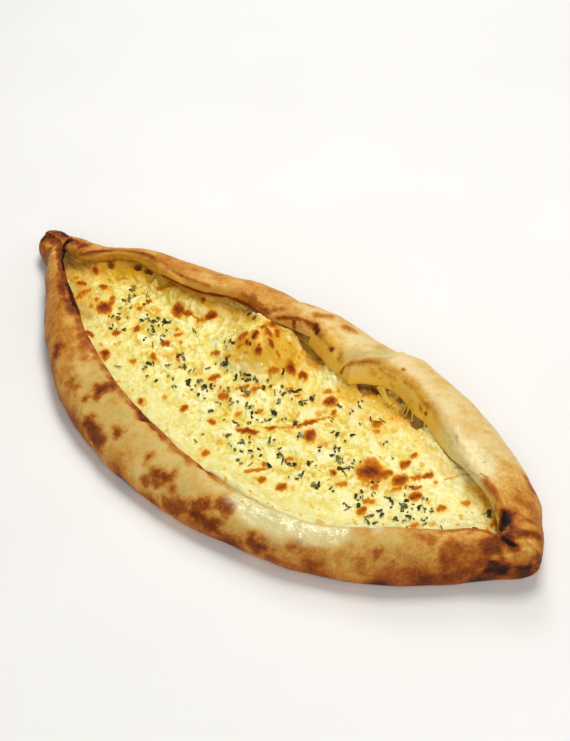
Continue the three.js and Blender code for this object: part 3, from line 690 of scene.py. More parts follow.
OIL_AND_PAINTED_LIGHT_DROPS = (6, 11)  # lips that hang this far down have an oily face, made bright as painted light
TOASTED_HEIGHTS = (20, 2)  # the outside is toasted more from the first of these down to the second
RELIEF_STARTS = (0, 4)  # heights between which the relief grows, so that the base stays flat
# Zones of a rim, in steps of its cross-section from the lip's tip. BROWNED_LIP_STEPS are from the crest.
INSIDE_STEPS = (1, 8)
FACE_STEPS = (-12, 0)
BROWNED_LIP_STEPS = (-3, 4)
BROWNED_LIP_END = 3


def dough_zones(points, half):
    """Where each point of the grid lies: far_side and on_sole are true or false, the others 0 to 1."""
    rings, around = points.shape[:2]
    flat = points.reshape(-1, 3)
    column = np.tile(np.arange(around), rings)
    far_side = (column >= half) & (column < 2 * half)
    on_sole = column >= 2 * half
    step = np.where(far_side, 2 * half - 1 - column, column)  # steps from the rim's foot
    from_lip = step - LIP_INDEX
    from_crest = step - CREST_INDEX + layered(flat, LIP_STEPS_UNEVEN)
    inside = smoothstep(*INSIDE_STEPS, from_lip) * ~on_sole
    face = smoothstep(*FACE_STEPS, from_lip) * (1 - inside) * ~on_sole
    opened = openness(flat[:, 0])
    return {
        "far_side": far_side,
        "on_sole": on_sole,
        "inner": np.clip(inside * opened, 0, 1),
        "face": face * opened,
        "low_outside": smoothstep(*TOASTED_HEIGHTS, flat[:, 2]) * (from_lip < 0),
        "at_lip": smoothstep(*BROWNED_LIP_STEPS, from_crest) * (from_lip < BROWNED_LIP_END) * ~on_sole,
    }


def dough_bake_and_painted_light(points, surface, zones):
    """How baked each point is: 0.1 is pale, 0.5 golden, 0.75 brown and 1 burnt. A painted shade line and a
    painted highlight are laid in as bake too.
    """
    x = points[:, 0]
    ragged = layered(points, BAKE_RAGGEDNESS)
    bake = np.where(zones["far_side"], through(FAR_BAKE)(x), through(NEAR_BAKE)(x))
    bake += layered(points, BAKE_CLOUDS)
    bake += BASE_TOAST * zones["low_outside"] * (1 + layered(points, TOAST_CLOUDS))
    bake -= PALENESS * strokes_on(points, surface, PALE_PATCHES_AND_PAINTED_HIGHLIGHT, ragged, 1.0)
    near_lip_bake = through(NEAR_LIP_BAKE)(x) * np.where(zones["far_side"], 0, zones["at_lip"])
    bake = np.maximum(bake, near_lip_bake * (1 + layered(points, LIP_CLOUDS)))
    for strokes, unevenness, softness in BROWNING_AND_PAINTED_SHADE:
        bake = np.maximum(bake, strokes_on(points, surface, strokes, unevenness * ragged, softness))
    bake = np.clip(bake, 0, 1)
    return mix(bake, np.minimum(bake, INNER_BAKE), zones["inner"])


def dough_fields(points, surface, zones):
    """What the dough's material reads at each point, from 0 to about 1."""
    ragged = layered(points, STROKE_RAGGEDNESS)
    drop = np.where(zones["far_side"], far_form(points[:, 0])["drop"], 0)
    # painted light: the hanging face of the roll takes the oil's colour, made bright for a face in shade
    hanging = zones["face"] * smoothstep(*OIL_AND_PAINTED_LIGHT_DROPS, drop)
    oil_and_light_bands = strokes_on(points, surface, OIL_AND_PAINTED_LIGHT_BANDS, 0.5 * ragged, 1.5)
    lit_wall = strokes_on(points, surface, INNER_BANDS, 0.5 * ragged, 1.2)
    # the film also carries the painted highlight along the far rim's edge
    film = strokes_on(points, surface, MELT_FILM + RIM_MELT + RIM_EDGE_PAINTED_HIGHLIGHT, 1.1 * ragged, 1.2)
    return {
        "bake": dough_bake_and_painted_light(points, surface, zones),
        "oily": np.maximum(np.maximum(zones["inner"], hanging), oil_and_light_bands),
        "inner": np.maximum(zones["inner"], lit_wall),
        "film": film * (1 - zones["inner"]),
        "tan": strokes_on(points, surface, TAN_AND_PAINTED_SHADE_AREAS, ragged, 1.4),
    }


def dough_relief(points, surface, zones, fields):
    """How far each point stands out from the plain form, in millimetres."""
    relief = layered(points, DOUGH_RELIEF)
    relief += BROWN_RELIEF * smoothstep(*BROWN_BAKES, fields["bake"]) * (1 - zones["inner"])
    relief += fields["film"] * (FILM_THICKNESS + layered(points, FILM_RELIEF))
    ragged = 0.1 * layered(points, STROKE_RAGGEDNESS)
    for radius, depth, pixels in CREASES:
        relief -= depth * strokes_on(points, surface, [(radius, 1, pixels)], ragged, 1.2)
    above_table = np.where(zones["on_sole"], 0, smoothstep(*RELIEF_STARTS, points[:, 2]))
    return relief * above_table * mix(1, INNER_RELIEF, zones["inner"])


def make_dough():
    """The baked dough, and its surface to lay things on."""
    points, poles, half = dough_grid()
    rings, around = points.shape[:2]
    flat = points.reshape(-1, 3)
    count = len(flat)
    faces = grid_faces(rings, around, True)
    faces += fan(0, around, count, True) + fan(count - around, around, count + 1, False)
    surface = surface_of(np.vstack([flat, poles]), faces)
    zones = dough_zones(points, half)
    fields = dough_fields(flat, surface, zones)
    relief = dough_relief(flat, surface, zones, fields)
    moved = flat + grid_normals(points).reshape(-1, 3) * relief[:, None]
    moved[:, 2] = np.maximum(moved[:, 2], 0)
    moved = np.vstack([moved, poles])
    crust = mesh_object("baked_dough", moved, faces)
    put_fields(crust, fields)
    return crust, surface_of(moved, faces)


# ---- The cheese's shape ----

def fades_in(x, span):
    """1 between a span's two stations, fading to 0 beyond them."""
    start, end, fade = span["from"], span["to"], span["fade"]
    return smoothstep(start - fade, start, x) * smoothstep(end + fade, end, x)


def cheese_base_height(x, y):
    """Height of the cheese's top before its relief."""
    middle = smoothstep(END_DIP["from"], END_DIP["from"] + END_DIP["over"], x)
    middle = middle * smoothstep(END_DIP["to"], END_DIP["to"] - END_DIP["over"], x)
    z = CHEESE["level"] - END_DIP["depth"] * (1 - middle)
    lip = far_lip(x)
    climb = smoothstep(lip - BANK["width"], lip + BANK["past_lip"], y)
    z = z + fades_in(x, BANK) * BANK["rise"] * climb
    z += through(FAR_MEETING)(x) * smoothstep(lip - MEETING["width"], lip + MEETING["past_lip"], y)
    lip = near_lip(x)
    climb = smoothstep(lip + OVERFLOW["width"], lip + OVERFLOW["short_of_lip"], y)
    z += fades_in(x, OVERFLOW) * OVERFLOW["rise"] * climb
    z += TENT["height"] * hump(x, y, TENT) ** TENT["fullness"]
    z -= HOLLOW["depth"] * hump(x, y, HOLLOW)
    for px, py, radius in PITS:
        z -= PIT_DEPTH * hump(x, y, {"x": px, "y": py, "length_x": radius, "length_y": radius})
    return z


def roof_over(section, y, spill):
    """Height of the dough that overhangs each y at one station, or inf where nothing does. The cheese may
    stand above the lip's tip by spill."""
    over = section[LIP_INDEX:WALL_INDEX + 1]
    order = np.argsort(over[:, 0])
    roof = np.interp(y, over[order, 0], over[order, 1], left=np.inf, right=np.inf)
    lip_y, lip_z = section[LIP_INDEX]
    return np.where(np.abs(y - lip_y) < LIP_TIP, np.minimum(roof, lip_z) + spill, roof)


def cheese_grid():
    """Points (rows, columns, 3) of the cheese's top before its relief, and how high each may rise."""
    x = np.arange(CHEESE["from"], CHEESE["to"] + CHEESE_STEP / 2, CHEESE_STEP)
    near, far = rim_sections(x)
    start = near[:, WALL_INDEX, 0] - INTO_DOUGH
    end = far[:, WALL_INDEX, 0] + INTO_DOUGH
    share = np.linspace(0, 1, CHEESE_COLUMNS)[None]
    y = mix(start[:, None], end[:, None], share)
    station = np.repeat(x[:, None], CHEESE_COLUMNS, 1)
    z = cheese_base_height(station, y)
    spill = fades_in(x, OVERFLOW) * OVERFLOW["spill"]
    sections = zip(near, far, y, spill)
    roof = [np.minimum(roof_over(n, line, over), roof_over(f, line, 0)) for n, f, line, over in sections]
    return np.stack([station, y, z], -1), np.stack(roof) - ROOF_GAP


# ---- What shows on the cheese ----

BLISTERS = [  # (radius in mm, how brown, pixels)
    (2.0, 0.85, [(95, 271)]), (1.8, 0.85, [(79, 283), (85, 284)]), (1.5, 0.55, [(74, 278), (78, 278)]),
    (2.0, 0.78, [(102, 288), (106, 288)]), (1.6, 0.6, [(84, 293), (90, 291)]),
    (2.6, 0.62, [(78, 298), (84, 294)]), (1.5, 0.66, [(97, 300)]), (1.7, 0.7, [(112, 299)]),
    (4.0, 0.92, [(102, 308), (107, 307)]), (1.8, 0.55, [(91, 306)]), (2.4, 0.7, [(111, 303)]),
    (1.8, 0.62, [(138, 309), (142, 308)]), (1.7, 0.8, [(149, 302)]), (1.6, 0.72, [(118, 318)]),
    (3.6, 0.92, [(176, 310), (180, 310)]), (1.6, 0.74, [(183, 313), (191, 315)]),
    (3.0, 0.88, [(208, 318), (214, 316)]), (1.8, 0.56, [(198, 321), (203, 321)]),
    (1.7, 0.85, [(203, 300)]), (2.0, 0.8, [(136, 331), (137, 328)]),
    (2.0, 0.8, [(114, 334), (119, 334)]), (1.7, 0.66, [(176, 335), (181, 333)]),
    (1.3, 0.56, [(177, 328)]), (2.0, 0.78, [(163, 345), (168, 343)]),
    (2.9, 0.94, [(104, 354), (107, 354)]), (1.8, 0.64, [(131, 361), (135, 361)]),
    (2.2, 0.6, [(153, 356), (154, 360)]), (1.4, 0.6, [(212, 353), (219, 354)]),
    (2.5, 0.74, [(211, 379), (217, 376)]), (2.2, 0.7, [(220, 398), (226, 396)]),
    (2.0, 0.76, [(182, 409), (186, 407)]), (1.4, 0.55, [(165, 398)]), (1.4, 0.82, [(141, 402)]),
    (2.0, 0.76, [(210, 423), (214, 422)]), (1.7, 0.62, [(242, 397), (248, 395)]),
    (2.0, 0.64, [(270, 372), (277, 370)]), (3.3, 0.9, [(290, 368), (292, 368)]),
    (2.7, 0.84, [(302, 375), (305, 378)]), (3.3, 0.86, [(328, 403), (333, 403)]),
    (1.9, 0.62, [(287, 390), (292, 389)]), (1.5, 0.6, [(296, 397), (300, 396)]),
    (1.7, 0.56, [(325, 393), (330, 392)]), (1.4, 0.5, [(339, 391)]),
    (3.0, 0.86, [(308, 437), (312, 436)]), (1.7, 0.68, [(334, 414)]),
    (1.7, 0.5, [(236, 414), (240, 413)]), (1.2, 0.52, [(226, 413)]),
    (1.8, 0.6, [(258, 412), (262, 411)]), (1.8, 0.62, [(204, 453), (208, 452)]),
    (1.5, 0.6, [(363, 397), (369, 396)]), (2.1, 0.62, [(374, 426), (380, 424)]),
    (1.7, 0.55, [(373, 432), (378, 432)]), (2.0, 0.64, [(287, 460), (292, 459)]),
    (1.4, 0.8, [(264, 463)]), (1.9, 0.7, [(260, 481), (264, 480)]),
    (2.0, 0.76, [(332, 474), (334, 475)]), (6.0, 0.92, [(366, 473), (374, 473)]),
    (2.4, 0.74, [(378, 476), (390, 473)]), (3.2, 0.9, [(397, 481), (404, 479)]),
    (1.4, 0.62, [(411, 478), (420, 478)]), (1.8, 0.58, [(337, 487), (345, 485)]),
    (2.2, 0.74, [(279, 489), (284, 488)]), (2.2, 0.8, [(402, 465), (408, 463)]),
    (1.6, 0.7, [(412, 457), (416, 455)]), (2.2, 0.82, [(412, 498), (419, 496)]),
    (2.0, 0.55, [(393, 491), (400, 488)]), (1.8, 0.68, [(373, 488), (377, 486)]),
    (1.9, 0.58, [(365, 503), (373, 501)]), (2.0, 0.68, [(359, 512), (365, 509)]),
    (1.7, 0.64, [(439, 511), (444, 509)]), (1.6, 0.55, [(411, 528), (417, 526)]),
    (1.6, 0.52, [(463, 503), (469, 502)]), (1.5, 0.5, [(436, 483)]),
    (1.7, 0.76, [(424, 478), (431, 476)]), (1.8, 0.6, [(492, 525), (497, 523)]),
    (2.4, 0.8, [(267, 332), (270, 337)]), (2.4, 0.78, [(277, 333), (278, 337)]),
    (1.7, 0.8, [(269, 342), (273, 349)]), (1.6, 0.6, [(277, 353), (279, 357)]),
    (2.4, 0.7, [(240, 340), (246, 335)]), (1.9, 1.0, [(254, 340), (257, 335)]),
    (1.2, 0.99, [(247, 343)]), (1.0, 0.97, [(250, 345)]), (2.0, 0.97, [(257, 353), (260, 352)]),
    (0.9, 0.97, [(259, 348)]), (1.7, 0.82, [(262, 330), (266, 328)]),
    (1.8, 0.74, [(271, 326), (276, 325)]), (1.5, 0.6, [(244, 353), (247, 353)]),
    (1.2, 0.55, [(238, 347), (243, 345)]), (1.2, 0.6, [(230, 343)]),
    (1.4, 0.55, [(226, 357), (230, 356)]), (1.3, 0.5, [(286, 352)]), (1.3, 0.5, [(299, 358)]),
    (1.2, 0.55, [(290, 345)]), (1.2, 0.5, [(392, 418)]), (1.6, 0.8, [(87, 332), (93, 337)]),
    (1.4, 0.6, [(181, 342)]), (1.5, 0.6, [(177, 354), (179, 362)]),
    (1.5, 0.6, [(240, 388), (248, 386)]),
]
STREAKS = [  # long marks of toasting, in the same form
    (1.8, 0.6, [(159, 289), (167, 287), (176, 286)]), (1.7, 0.8, [(266, 428), (275, 427)]),
    (2.0, 0.46, [(275, 427), (288, 428), (298, 427)]),
    (2.3, 0.76, [(299, 427), (308, 424), (314, 422)]), (1.8, 0.5, [(315, 421), (325, 419), (336, 417)]),
    (2.1, 0.86, [(239, 430), (246, 431), (255, 433)]), (1.5, 0.6, [(252, 389), (262, 389)]),
    (1.6, 0.6, [(246, 472), (256, 469), (264, 467)]), (1.6, 0.74, [(414, 488), (420, 488)]),
    (1.2, 0.4, [(445, 479), (457, 477)]), (1.4, 0.56, [(190, 316), (204, 320)]),
    (3.4, 0.42, [(262, 327), (272, 326), (282, 330)]),
    (4.5, 0.36, [(240, 338), (252, 334), (266, 336), (278, 340)]),
    (4.0, 0.32, [(262, 345), (272, 350), (276, 360)]), (4.0, 0.3, [(80, 285), (86, 296), (98, 304)]),
    (3.5, 0.3, [(188, 314), (200, 318)]), (3.5, 0.3, [(376, 480), (400, 486), (420, 492)]),
    (3.0, 0.3, [(150, 356), (176, 356)]), (3.0, 0.28, [(204, 380), (226, 390), (246, 386)]),
    (3.0, 0.28, [(248, 386), (270, 388)]),
]
RIDGES = [  # (radius in mm, height in mm, pixels)
    (2.6, 1.2, [(269, 324), (278, 325), (286, 329), (295, 338), (303, 352)]),
    (2.2, 0.9, [(262, 328), (252, 335), (240, 340)]),
    (2.0, 0.8, [(266, 330), (269, 342), (275, 354)]),
    (1.8, 0.8, [(254, 340), (258, 349), (260, 358)]),
    (2.0, 0.7, [(280, 333), (286, 345), (289, 358)]),
    (1.6, 0.7, [(316, 372), (330, 380), (342, 384)]),
    (1.5, 0.8, [(379, 388), (390, 398), (398, 410), (404, 420)]),
]
YELLOW_AREAS = [  # where the cheese is deep yellow with oil: (radius in mm, strength, pixels)
    (11.0, 1.0, [(270, 335), (285, 345), (292, 358)]),
    (9.0, 1.0, [(245, 345), (262, 356), (285, 366)]),
    (9.0, 1.0, [(80, 264), (105, 266), (125, 266), (150, 272)]),
    (6.5, 0.9, [(155, 277), (185, 292), (215, 304)]),
    (7.0, 0.8, [(218, 306), (235, 313), (252, 320)]),
    (8.0, 1.0, [(355, 388), (375, 396), (390, 408), (402, 420)]),
    (4.0, 0.5, [(410, 428), (430, 450), (452, 474)]),
    (5.0, 1.0, [(474, 488), (486, 502), (494, 514), (496, 524)]),
    (5.5, 1.0, [(303, 340), (310, 352), (318, 364)]),
    (8.0, 0.4, [(300, 400), (345, 395), (380, 430)]),
]
BUBBLES = [  # (u, v, radius in mm, depth in mm)
    (111, 264, 2.3, 1.4), (138, 266, 2.6, 1.3), (148, 269, 2.0, 1.5), (151, 271, 1.4, 1.3),
    (173, 281, 1.4, 1.2), (249, 312, 1.6, 1.0), (254, 317, 1.4, 1.0),
]
WALL_SHADES = [  # dark openings under the far rim
    (5.0, 0.95, [(64, 250), (66, 256), (72, 260)]),
    (3.4, 0.75, [(66, 262), (80, 264), (92, 262)]),
    (2.0, 1.0, [(359, 386), (368, 388)]),
    (2.2, 1.0, [(372, 388), (377, 392)]),
    (1.6, 0.8, [(400, 399), (401, 403)]),
    (2.8, 0.8, [(405, 411), (410, 413)]),
    (3.4, 0.7, [(414, 420), (427, 423)]),
]
SHADY_BANDS = [  # darker cheese under the far rim and in its folds
    (3.6, 0.8, [(68, 266), (92, 266), (110, 263), (130, 264), (147, 268), (160, 276), (172, 284)]),
    (1.6, 0.5, [(172, 284), (186, 291), (205, 302), (225, 306)]),
    (2.0, 0.9, [(225, 306), (240, 311), (255, 319)]),
    (4.0, 0.78, [(69, 266), (74, 278), (78, 290), (82, 302), (87, 315)]),
    (5.0, 0.55, [(80, 272), (86, 290), (92, 304)]),
    (3.4, 0.9, [(296, 338), (304, 350), (314, 362), (322, 366)]),
    (9.0, 0.4, [(250, 348), (268, 346), (290, 352)]),
    (1.8, 0.4, [(440, 440), (452, 456), (466, 472), (474, 480)]),
    (3.0, 0.7, [(360, 390), (380, 398), (398, 410), (412, 422)]),
    (1.6, 0.3, [(476, 490), (486, 503), (494, 516), (497, 528)]),
]
SMOOTH_AREA = (28, 4)  # from the near lip: no smoothly melted cheese beyond 28 mm, all of it within 4 mm

BLISTER_STRETCH = 1.3  # away from the eye
BLISTER_ENDS, BLISTER_MIDDLE = 0.88, 1.2  # shares of its radius, so that it bulges in its middle
HALO_MARGIN = 1.0  # lightly toasted cheese round a blister
HALO_TOAST = 0.27
DOME_HEIGHT = 0.34  # of a blister's radius, up to 1 mm
SPECKS = [(6.5, 32, 0.55, 0.95), (2.6, 37, 0.62, 0.9)]  # size in mm, seed, and the start and end of the fade
SPECK_TOAST = 0.34
YELLOW_MELT = 0.8  # how smoothly melted the yellow areas are
# Layers of unevenness: (size of the lumps in mm, amount, seed).
COARSE = [(5, 1, 30)]
CHEESE_RAGGEDNESS = [(5, 0.11, 30), (1.9, 0.09, 31)]
SMOOTH_AREA_UNEVEN = [(18, 6, 33)]
CHEESE_RELIEF = [(6, 0.4, 34), (15, 0.7, 35), (1.9, 0.16, 31)]
CHEESE_FILM_RELIEF = [(3.2, 0.4, 11)]
DOME_RELIEF = [(1.4, 0.35, 36)]
CURD_WANDER = [(7, 2, 20), (7, 2, 21)]  # how far the curds are bent along x, and along y
CURDS = [(6.5, 0.8, 22), (3.2, 0.6, 23), (1.5, 0.4, 24)]
MOST_CURD, MIDDLING_CURD = 1.4, 0.6  # the middling curd is neither raised nor sunk
CURD_HEIGHT, MELTED_CURD_HEIGHT = 1.9, 0.9  # mm
# Areas of the cheese: their strokes, how uneven their edges are and how soft.
CHEESE_AREAS = {
    "yellow": (YELLOW_AREAS, 0.25, 1.2),
    "film": (MELT_FILM, 0.2, 0.9),
    "shady": (SHADY_BANDS, 0.25, 1.4),
}


def curdled(points):
    """Relief of melted curds: rounded lumps of three sizes with creases between them, from 0 to about 1."""
    wander = [layered(points, [layer]) for layer in CURD_WANDER]
    bent = points + np.stack([*wander, 0 * wander[0]], 1)
    curds = sum(amount * np.abs(grain(bent, size, seed)) for size, amount, seed in CURDS)
    return np.clip(curds, 0, MOST_CURD)


def blistered(points, surface, ragged):
    """How toasted each point is by its blister, and how far up the blister's dome it is."""
    toast = np.zeros(len(points))
    dome = np.zeros(len(points))
    for radius, brown, pixels in BLISTERS:
        middle = [tuple(np.mean(pixels, 0))]
        rounded = [(BLISTER_ENDS * radius, 1, pixels), (BLISTER_MIDDLE * radius, 1, middle)]
        wide = [(BLISTER_MIDDLE * radius + HALO_MARGIN, 1, pixels)]
        core = strokes_on(points, surface, rounded, 1.3 * ragged, 1.0, BLISTER_STRETCH)
        halo = strokes_on(points, surface, wide, ragged, 1.4, BLISTER_STRETCH)
        toast = np.maximum(toast, np.maximum(brown * core, HALO_TOAST * halo))
        dome = np.maximum(dome, core * min(1.0, DOME_HEIGHT * radius))
    return toast, dome


def bubbled(points, surface, coarse):
    """How strongly shade is painted into the bubble holes, from 0 to 1, and how deep they are in millimetres.
    """
    hole = np.zeros(len(points))
    depths = np.zeros(len(points))
    for u, v, radius, depth in BUBBLES:
        here = strokes_on(points, surface, [(radius, 1, [(u, v)])], 0.1 * coarse, 0.5)
        hole = np.maximum(hole, here)
        depths += depth * here
    return hole, depths


def cheese_fields(points, bare, surface, toast, hole):
    """What the cheese's material reads at each point, from 0 to about 1. The strokes are laid on the bare
    points, which stay below the dough."""
    coarse, ragged = layered(points, COARSE), layered(points, CHEESE_RAGGEDNESS)
    fields = {
        name: strokes_on(bare, surface, strokes, unevenness * coarse, softness)
        for name, (strokes, unevenness, softness) in CHEESE_AREAS.items()
    }
    toast = np.maximum(toast, strokes_on(bare, surface, STREAKS, 2 * ragged, 1.1))
    for size, seed, start, end in SPECKS:
        toast = np.maximum(toast, SPECK_TOAST * smoothstep(start, end, grain(points, size, seed)))
    from_near = points[:, 1] - near_lip(points[:, 0]) + layered(points, SMOOTH_AREA_UNEVEN)
    smooth = smoothstep(*SMOOTH_AREA, from_near)
    melted = np.maximum(np.maximum(smooth, fields["film"]), YELLOW_MELT * fields["yellow"])
    return fields | {
        "toast": toast,
        "smooth": smooth,
        "melted": melted,
        "hole": np.maximum(hole, strokes_on(bare, surface, WALL_SHADES, ragged, 1.2)),
        "curd": curdled(points),
        "depth": through(CHEESE_DEPTH)(points[:, 0]),
    }


def cheese_relief(points, bare, surface, fields, dome):
    """How far each point stands above the plain form, in millimetres, but for the bubbles."""
    curd_height = mix(CURD_HEIGHT, MELTED_CURD_HEIGHT, fields["melted"])
    relief = curd_height * (fields["curd"] - MIDDLING_CURD) + layered(points, CHEESE_RELIEF)
    relief += fields["film"] * layered(points, CHEESE_FILM_RELIEF)
    relief += dome * (1 + layered(points, DOME_RELIEF))
    ragged = 0.2 * layered(points, COARSE)
    for radius, height, pixels in RIDGES:
        relief += height * strokes_on(bare, surface, [(radius, 1, pixels)], ragged, 1.2)
    return relief


def make_cheese():
    """The melted cheese, and its surface to lay things on."""
    points, roof = cheese_grid()
    rows, columns = points.shape[:2]
    flat = points.reshape(-1, 3)
    bare = flat.copy()
    bare[:, 2] = np.minimum(flat[:, 2], roof.ravel())
    surface = surface_of(bare, grid_faces(rows, columns, False))
    toast, dome = blistered(bare, surface, layered(flat, CHEESE_RAGGEDNESS))
    hole, depths = bubbled(bare, surface, layered(flat, COARSE))
    fields = cheese_fields(flat, bare, surface, toast, hole)
    relief = cheese_relief(flat, bare, surface, fields, dome) - depths
    top = flat.copy()
    top[:, 2] = np.minimum(flat[:, 2] + relief, roof.ravel())
    cheese_points, faces = close_slab(top.reshape(rows, columns, 3))
    cheese = mesh_object("melted_cheese", cheese_points, faces)
    hidden = len(cheese_points) - len(top)  # points of the skirt and the underside
    put_fields(cheese, {name: np.pad(values, (0, hidden)) for name, values in fields.items()})
    return cheese, surface_of(cheese_points, faces)


def close_slab(grid):
    """Closes the cheese's top with a skirt down to a flat underside just inside the dough's sole."""
    rows, columns = grid.shape[:2]
    top = grid.reshape(-1, 3)
    rim = border(rows, columns)
    low = top[rim].copy()
    low[:, 2] = SOLE - INTO_SOLE
    middle = np.array([[0, 0, SOLE - INTO_SOLE]])
    skirt = walls(rim, list(range(len(top), len(top) + len(rim))))
    underside = fan(len(top), len(rim), len(top) + len(rim), False)
    faces = [tuple(reversed(face)) for face in grid_faces(rows, columns, False)]
    return np.vstack([top, low, middle]), faces + skirt + underside


# ---- Dried herbs ----

HERB_SEED = 7
HERB_CLUSTERS = [  # (u, v, spread in pixels, flakes)
    (130, 297, 7, 9), (147, 302, 3, 3), (128, 306, 4, 3), (117, 316, 2, 2), (124, 318, 4, 3),
    (146, 319, 4, 7), (160, 321, 4, 6), (167, 324, 2, 3), (113, 327, 2, 2), (124, 329, 3, 3),
    (149, 328, 3, 5), (157, 333, 4, 4), (165, 333, 2, 2), (146, 341, 2, 2), (167, 346, 1, 1),
    (196, 331, 3, 2), (151, 363, 3, 3), (166, 366, 2, 3), (182, 357, 4, 6), (180, 366, 4, 4),
    (190, 371, 2, 2), (220, 365, 3, 4), (142, 369, 2, 1), (148, 375, 2, 2), (158, 381, 1, 1),
    (172, 378, 2, 3), (192, 383, 6, 9), (198, 393, 4, 6), (207, 387, 2, 2), (218, 389, 3, 3),
    (176, 388, 2, 2), (225, 365, 4, 5), (231, 343, 3, 4), (248, 376, 4, 6), (238, 385, 7, 12),
    (245, 389, 4, 4), (206, 389, 2, 2), (268, 384, 4, 5), (279, 372, 3, 2), (288, 393, 5, 7),
    (276, 403, 2, 2), (302, 405, 2, 3), (316, 397, 2, 3), (234, 404, 3, 4), (218, 404, 2, 2),
    (210, 410, 1, 1), (248, 408, 3, 3), (255, 414, 3, 4), (274, 413, 3, 4), (260, 419, 4, 5),
    (237, 423, 4, 5), (223, 421, 1, 1), (294, 422, 2, 2), (285, 421, 2, 2), (297, 436, 3, 3),
    (227, 436, 1, 2), (236, 446, 4, 6), (246, 442, 3, 3), (248, 453, 2, 2), (258, 450, 2, 2),
    (281, 452, 2, 3), (250, 461, 5, 4), (276, 461, 4, 4), (308, 463, 5, 4), (292, 466, 2, 2),
    (269, 467, 2, 2), (335, 448, 3, 5), (331, 457, 2, 2), (340, 460, 2, 3), (361, 461, 2, 1),
    (342, 468, 4, 4), (351, 470, 3, 3), (299, 478, 4, 5), (315, 487, 4, 5), (332, 491, 2, 2),
    (376, 483, 2, 3), (333, 420, 2, 2), (366, 421, 3, 2), (352, 411, 3, 3), (361, 402, 2, 2),
    (340, 405, 2, 2), (331, 432, 3, 3), (409, 484, 3, 2), (358, 497, 3, 5), (372, 493, 2, 2),
    (388, 498, 3, 5), (404, 498, 3, 4), (392, 505, 2, 2), (350, 505, 4, 4), (407, 507, 5, 7),
    (418, 510, 4, 6), (430, 509, 3, 4), (427, 501, 2, 2), (377, 516, 4, 7), (366, 519, 3, 3),
    (411, 517, 3, 3), (425, 520, 2, 3), (402, 524, 3, 4), (425, 526, 2, 2), (392, 459, 2, 1),
    (352, 458, 3, 2), (485, 514, 2, 2), (478, 527, 2, 1), (380, 442, 5, 2), (312, 445, 6, 2),
    (195, 430, 8, 2), (270, 440, 8, 3), (350, 437, 4, 2),
]
STEMS = [  # (u, v, angle in degrees in the plan, length in mm)
    (118, 366, 20, 4.0), (147, 295, 35, 4.5), (152, 334, -20, 4.0), (193, 330, 40, 3.0),
    (207, 369, 5, 3.5), (208, 368, -8, 3.2), (194, 371, -25, 4.0), (275, 394, -45, 4.5),
    (304, 401, -30, 4.5), (375, 422, 30, 6.0), (382, 421, 25, 4.0), (286, 462, -40, 5.5),
    (343, 461, 60, 3.5), (344, 473, 15, 6.0), (348, 509, 35, 4.5), (406, 488, 35, 4.0),
    (441, 528, 85, 2.8), (309, 463, -10, 5.0), (153, 345, 35, 4.0), (250, 464, -5, 4.0),
    (363, 498, 30, 5.0), (352, 468, 5, 4.0), (404, 508, 30, 4.5), (366, 517, -50, 3.0),
    (486, 514, 25, 3.5),
]
HERB_SHARES = {"herb_green": 0.4, "herb_dark": 0.4, "herb_pale": 0.2}
SCATTER = (1.15, 0.8)  # a cluster is wider than it is high
FLAKE = {  # sizes in mm
    "length": (1.2, 3.6), "width": (0.8, 2.2),  # of the smallest flakes and the largest
    "thickness": 0.3,
    "outline": (0.5, 0.95, 1.0, 0.85, 0.45),  # shares of its width, along it
    "slimness": (0.6, 1.0), "curl": (0.1, 0.9), "twist": (-0.5, 0.5), "raggedness": (0.75, 1.25),
    "end_curl": 1.2, "side_curl": 1.6, "bend": 0.15, "bends": 7,
}
FLAKE_ROWS, FLAKE_COLUMNS = len(FLAKE["outline"]), 3
FLAKE_TILT = 0.35
STEM = {"radius": 0.24, "sides": 6, "steps": 6, "bend": 0.8}
LAID_FLAT = 0.8  # how fully a small thing follows the slope that it lies on
HERB_LIFT = 0.1
STEM_LIFT = 0.35


def flake(random):
    """A curled fragment of dried leaf: a bent strip with a ragged outline."""
    form = FLAKE
    share = random.uniform(0, 1) ** 2
    length = mix(*form["length"], share)
    width = mix(*form["width"], share) * random.uniform(*form["slimness"])
    curl, twist = random.uniform(*form["curl"]), random.uniform(*form["twist"])
    outline = np.array(form["outline"]) * random.uniform(*form["raggedness"], FLAKE_ROWS)
    points = []
    for lift in (0, form["thickness"]):
        for s, breadth in zip(np.linspace(-0.5, 0.5, FLAKE_ROWS), width * outline):
            for side in breadth * np.linspace(-0.5, 0.5, FLAKE_COLUMNS):
                curled = form["end_curl"] * s * s + form["side_curl"] * (side / width) ** 2
                bent = form["bend"] * math.sin(form["bends"] * s + curl)
                points.append([s * length, side + bent, curl * curled + twist * s * side + lift])
    count = FLAKE_ROWS * FLAKE_COLUMNS
    low = grid_faces(FLAKE_ROWS, FLAKE_COLUMNS, False)
    high = [tuple(count + k for k in reversed(face)) for face in low]
    edge = border(FLAKE_ROWS, FLAKE_COLUMNS)
    sides = walls(edge, [count + k for k in edge])
    return np.array(points), low + high + sides


def stem(length, bend):
    """A thin bent twig."""
    steps, sides = STEM["steps"], STEM["sides"]
    points = []
    for i in range(steps + 1):
        s = i / steps - 0.5
        middle = bend * (4 * s * s - 1) * 0.5
        radius = STEM["radius"] * (0.5 if i in (0, steps) else 1)
        for k in range(sides):
            angle = 2 * math.pi * k / sides
            points.append([s * length, middle + radius * math.cos(angle), radius * math.sin(angle)])
    faces = grid_faces(steps + 1, sides, True)
    faces += [tuple(range(sides)), tuple(reversed(range(steps * sides, (steps + 1) * sides)))]
    return np.array(points), faces


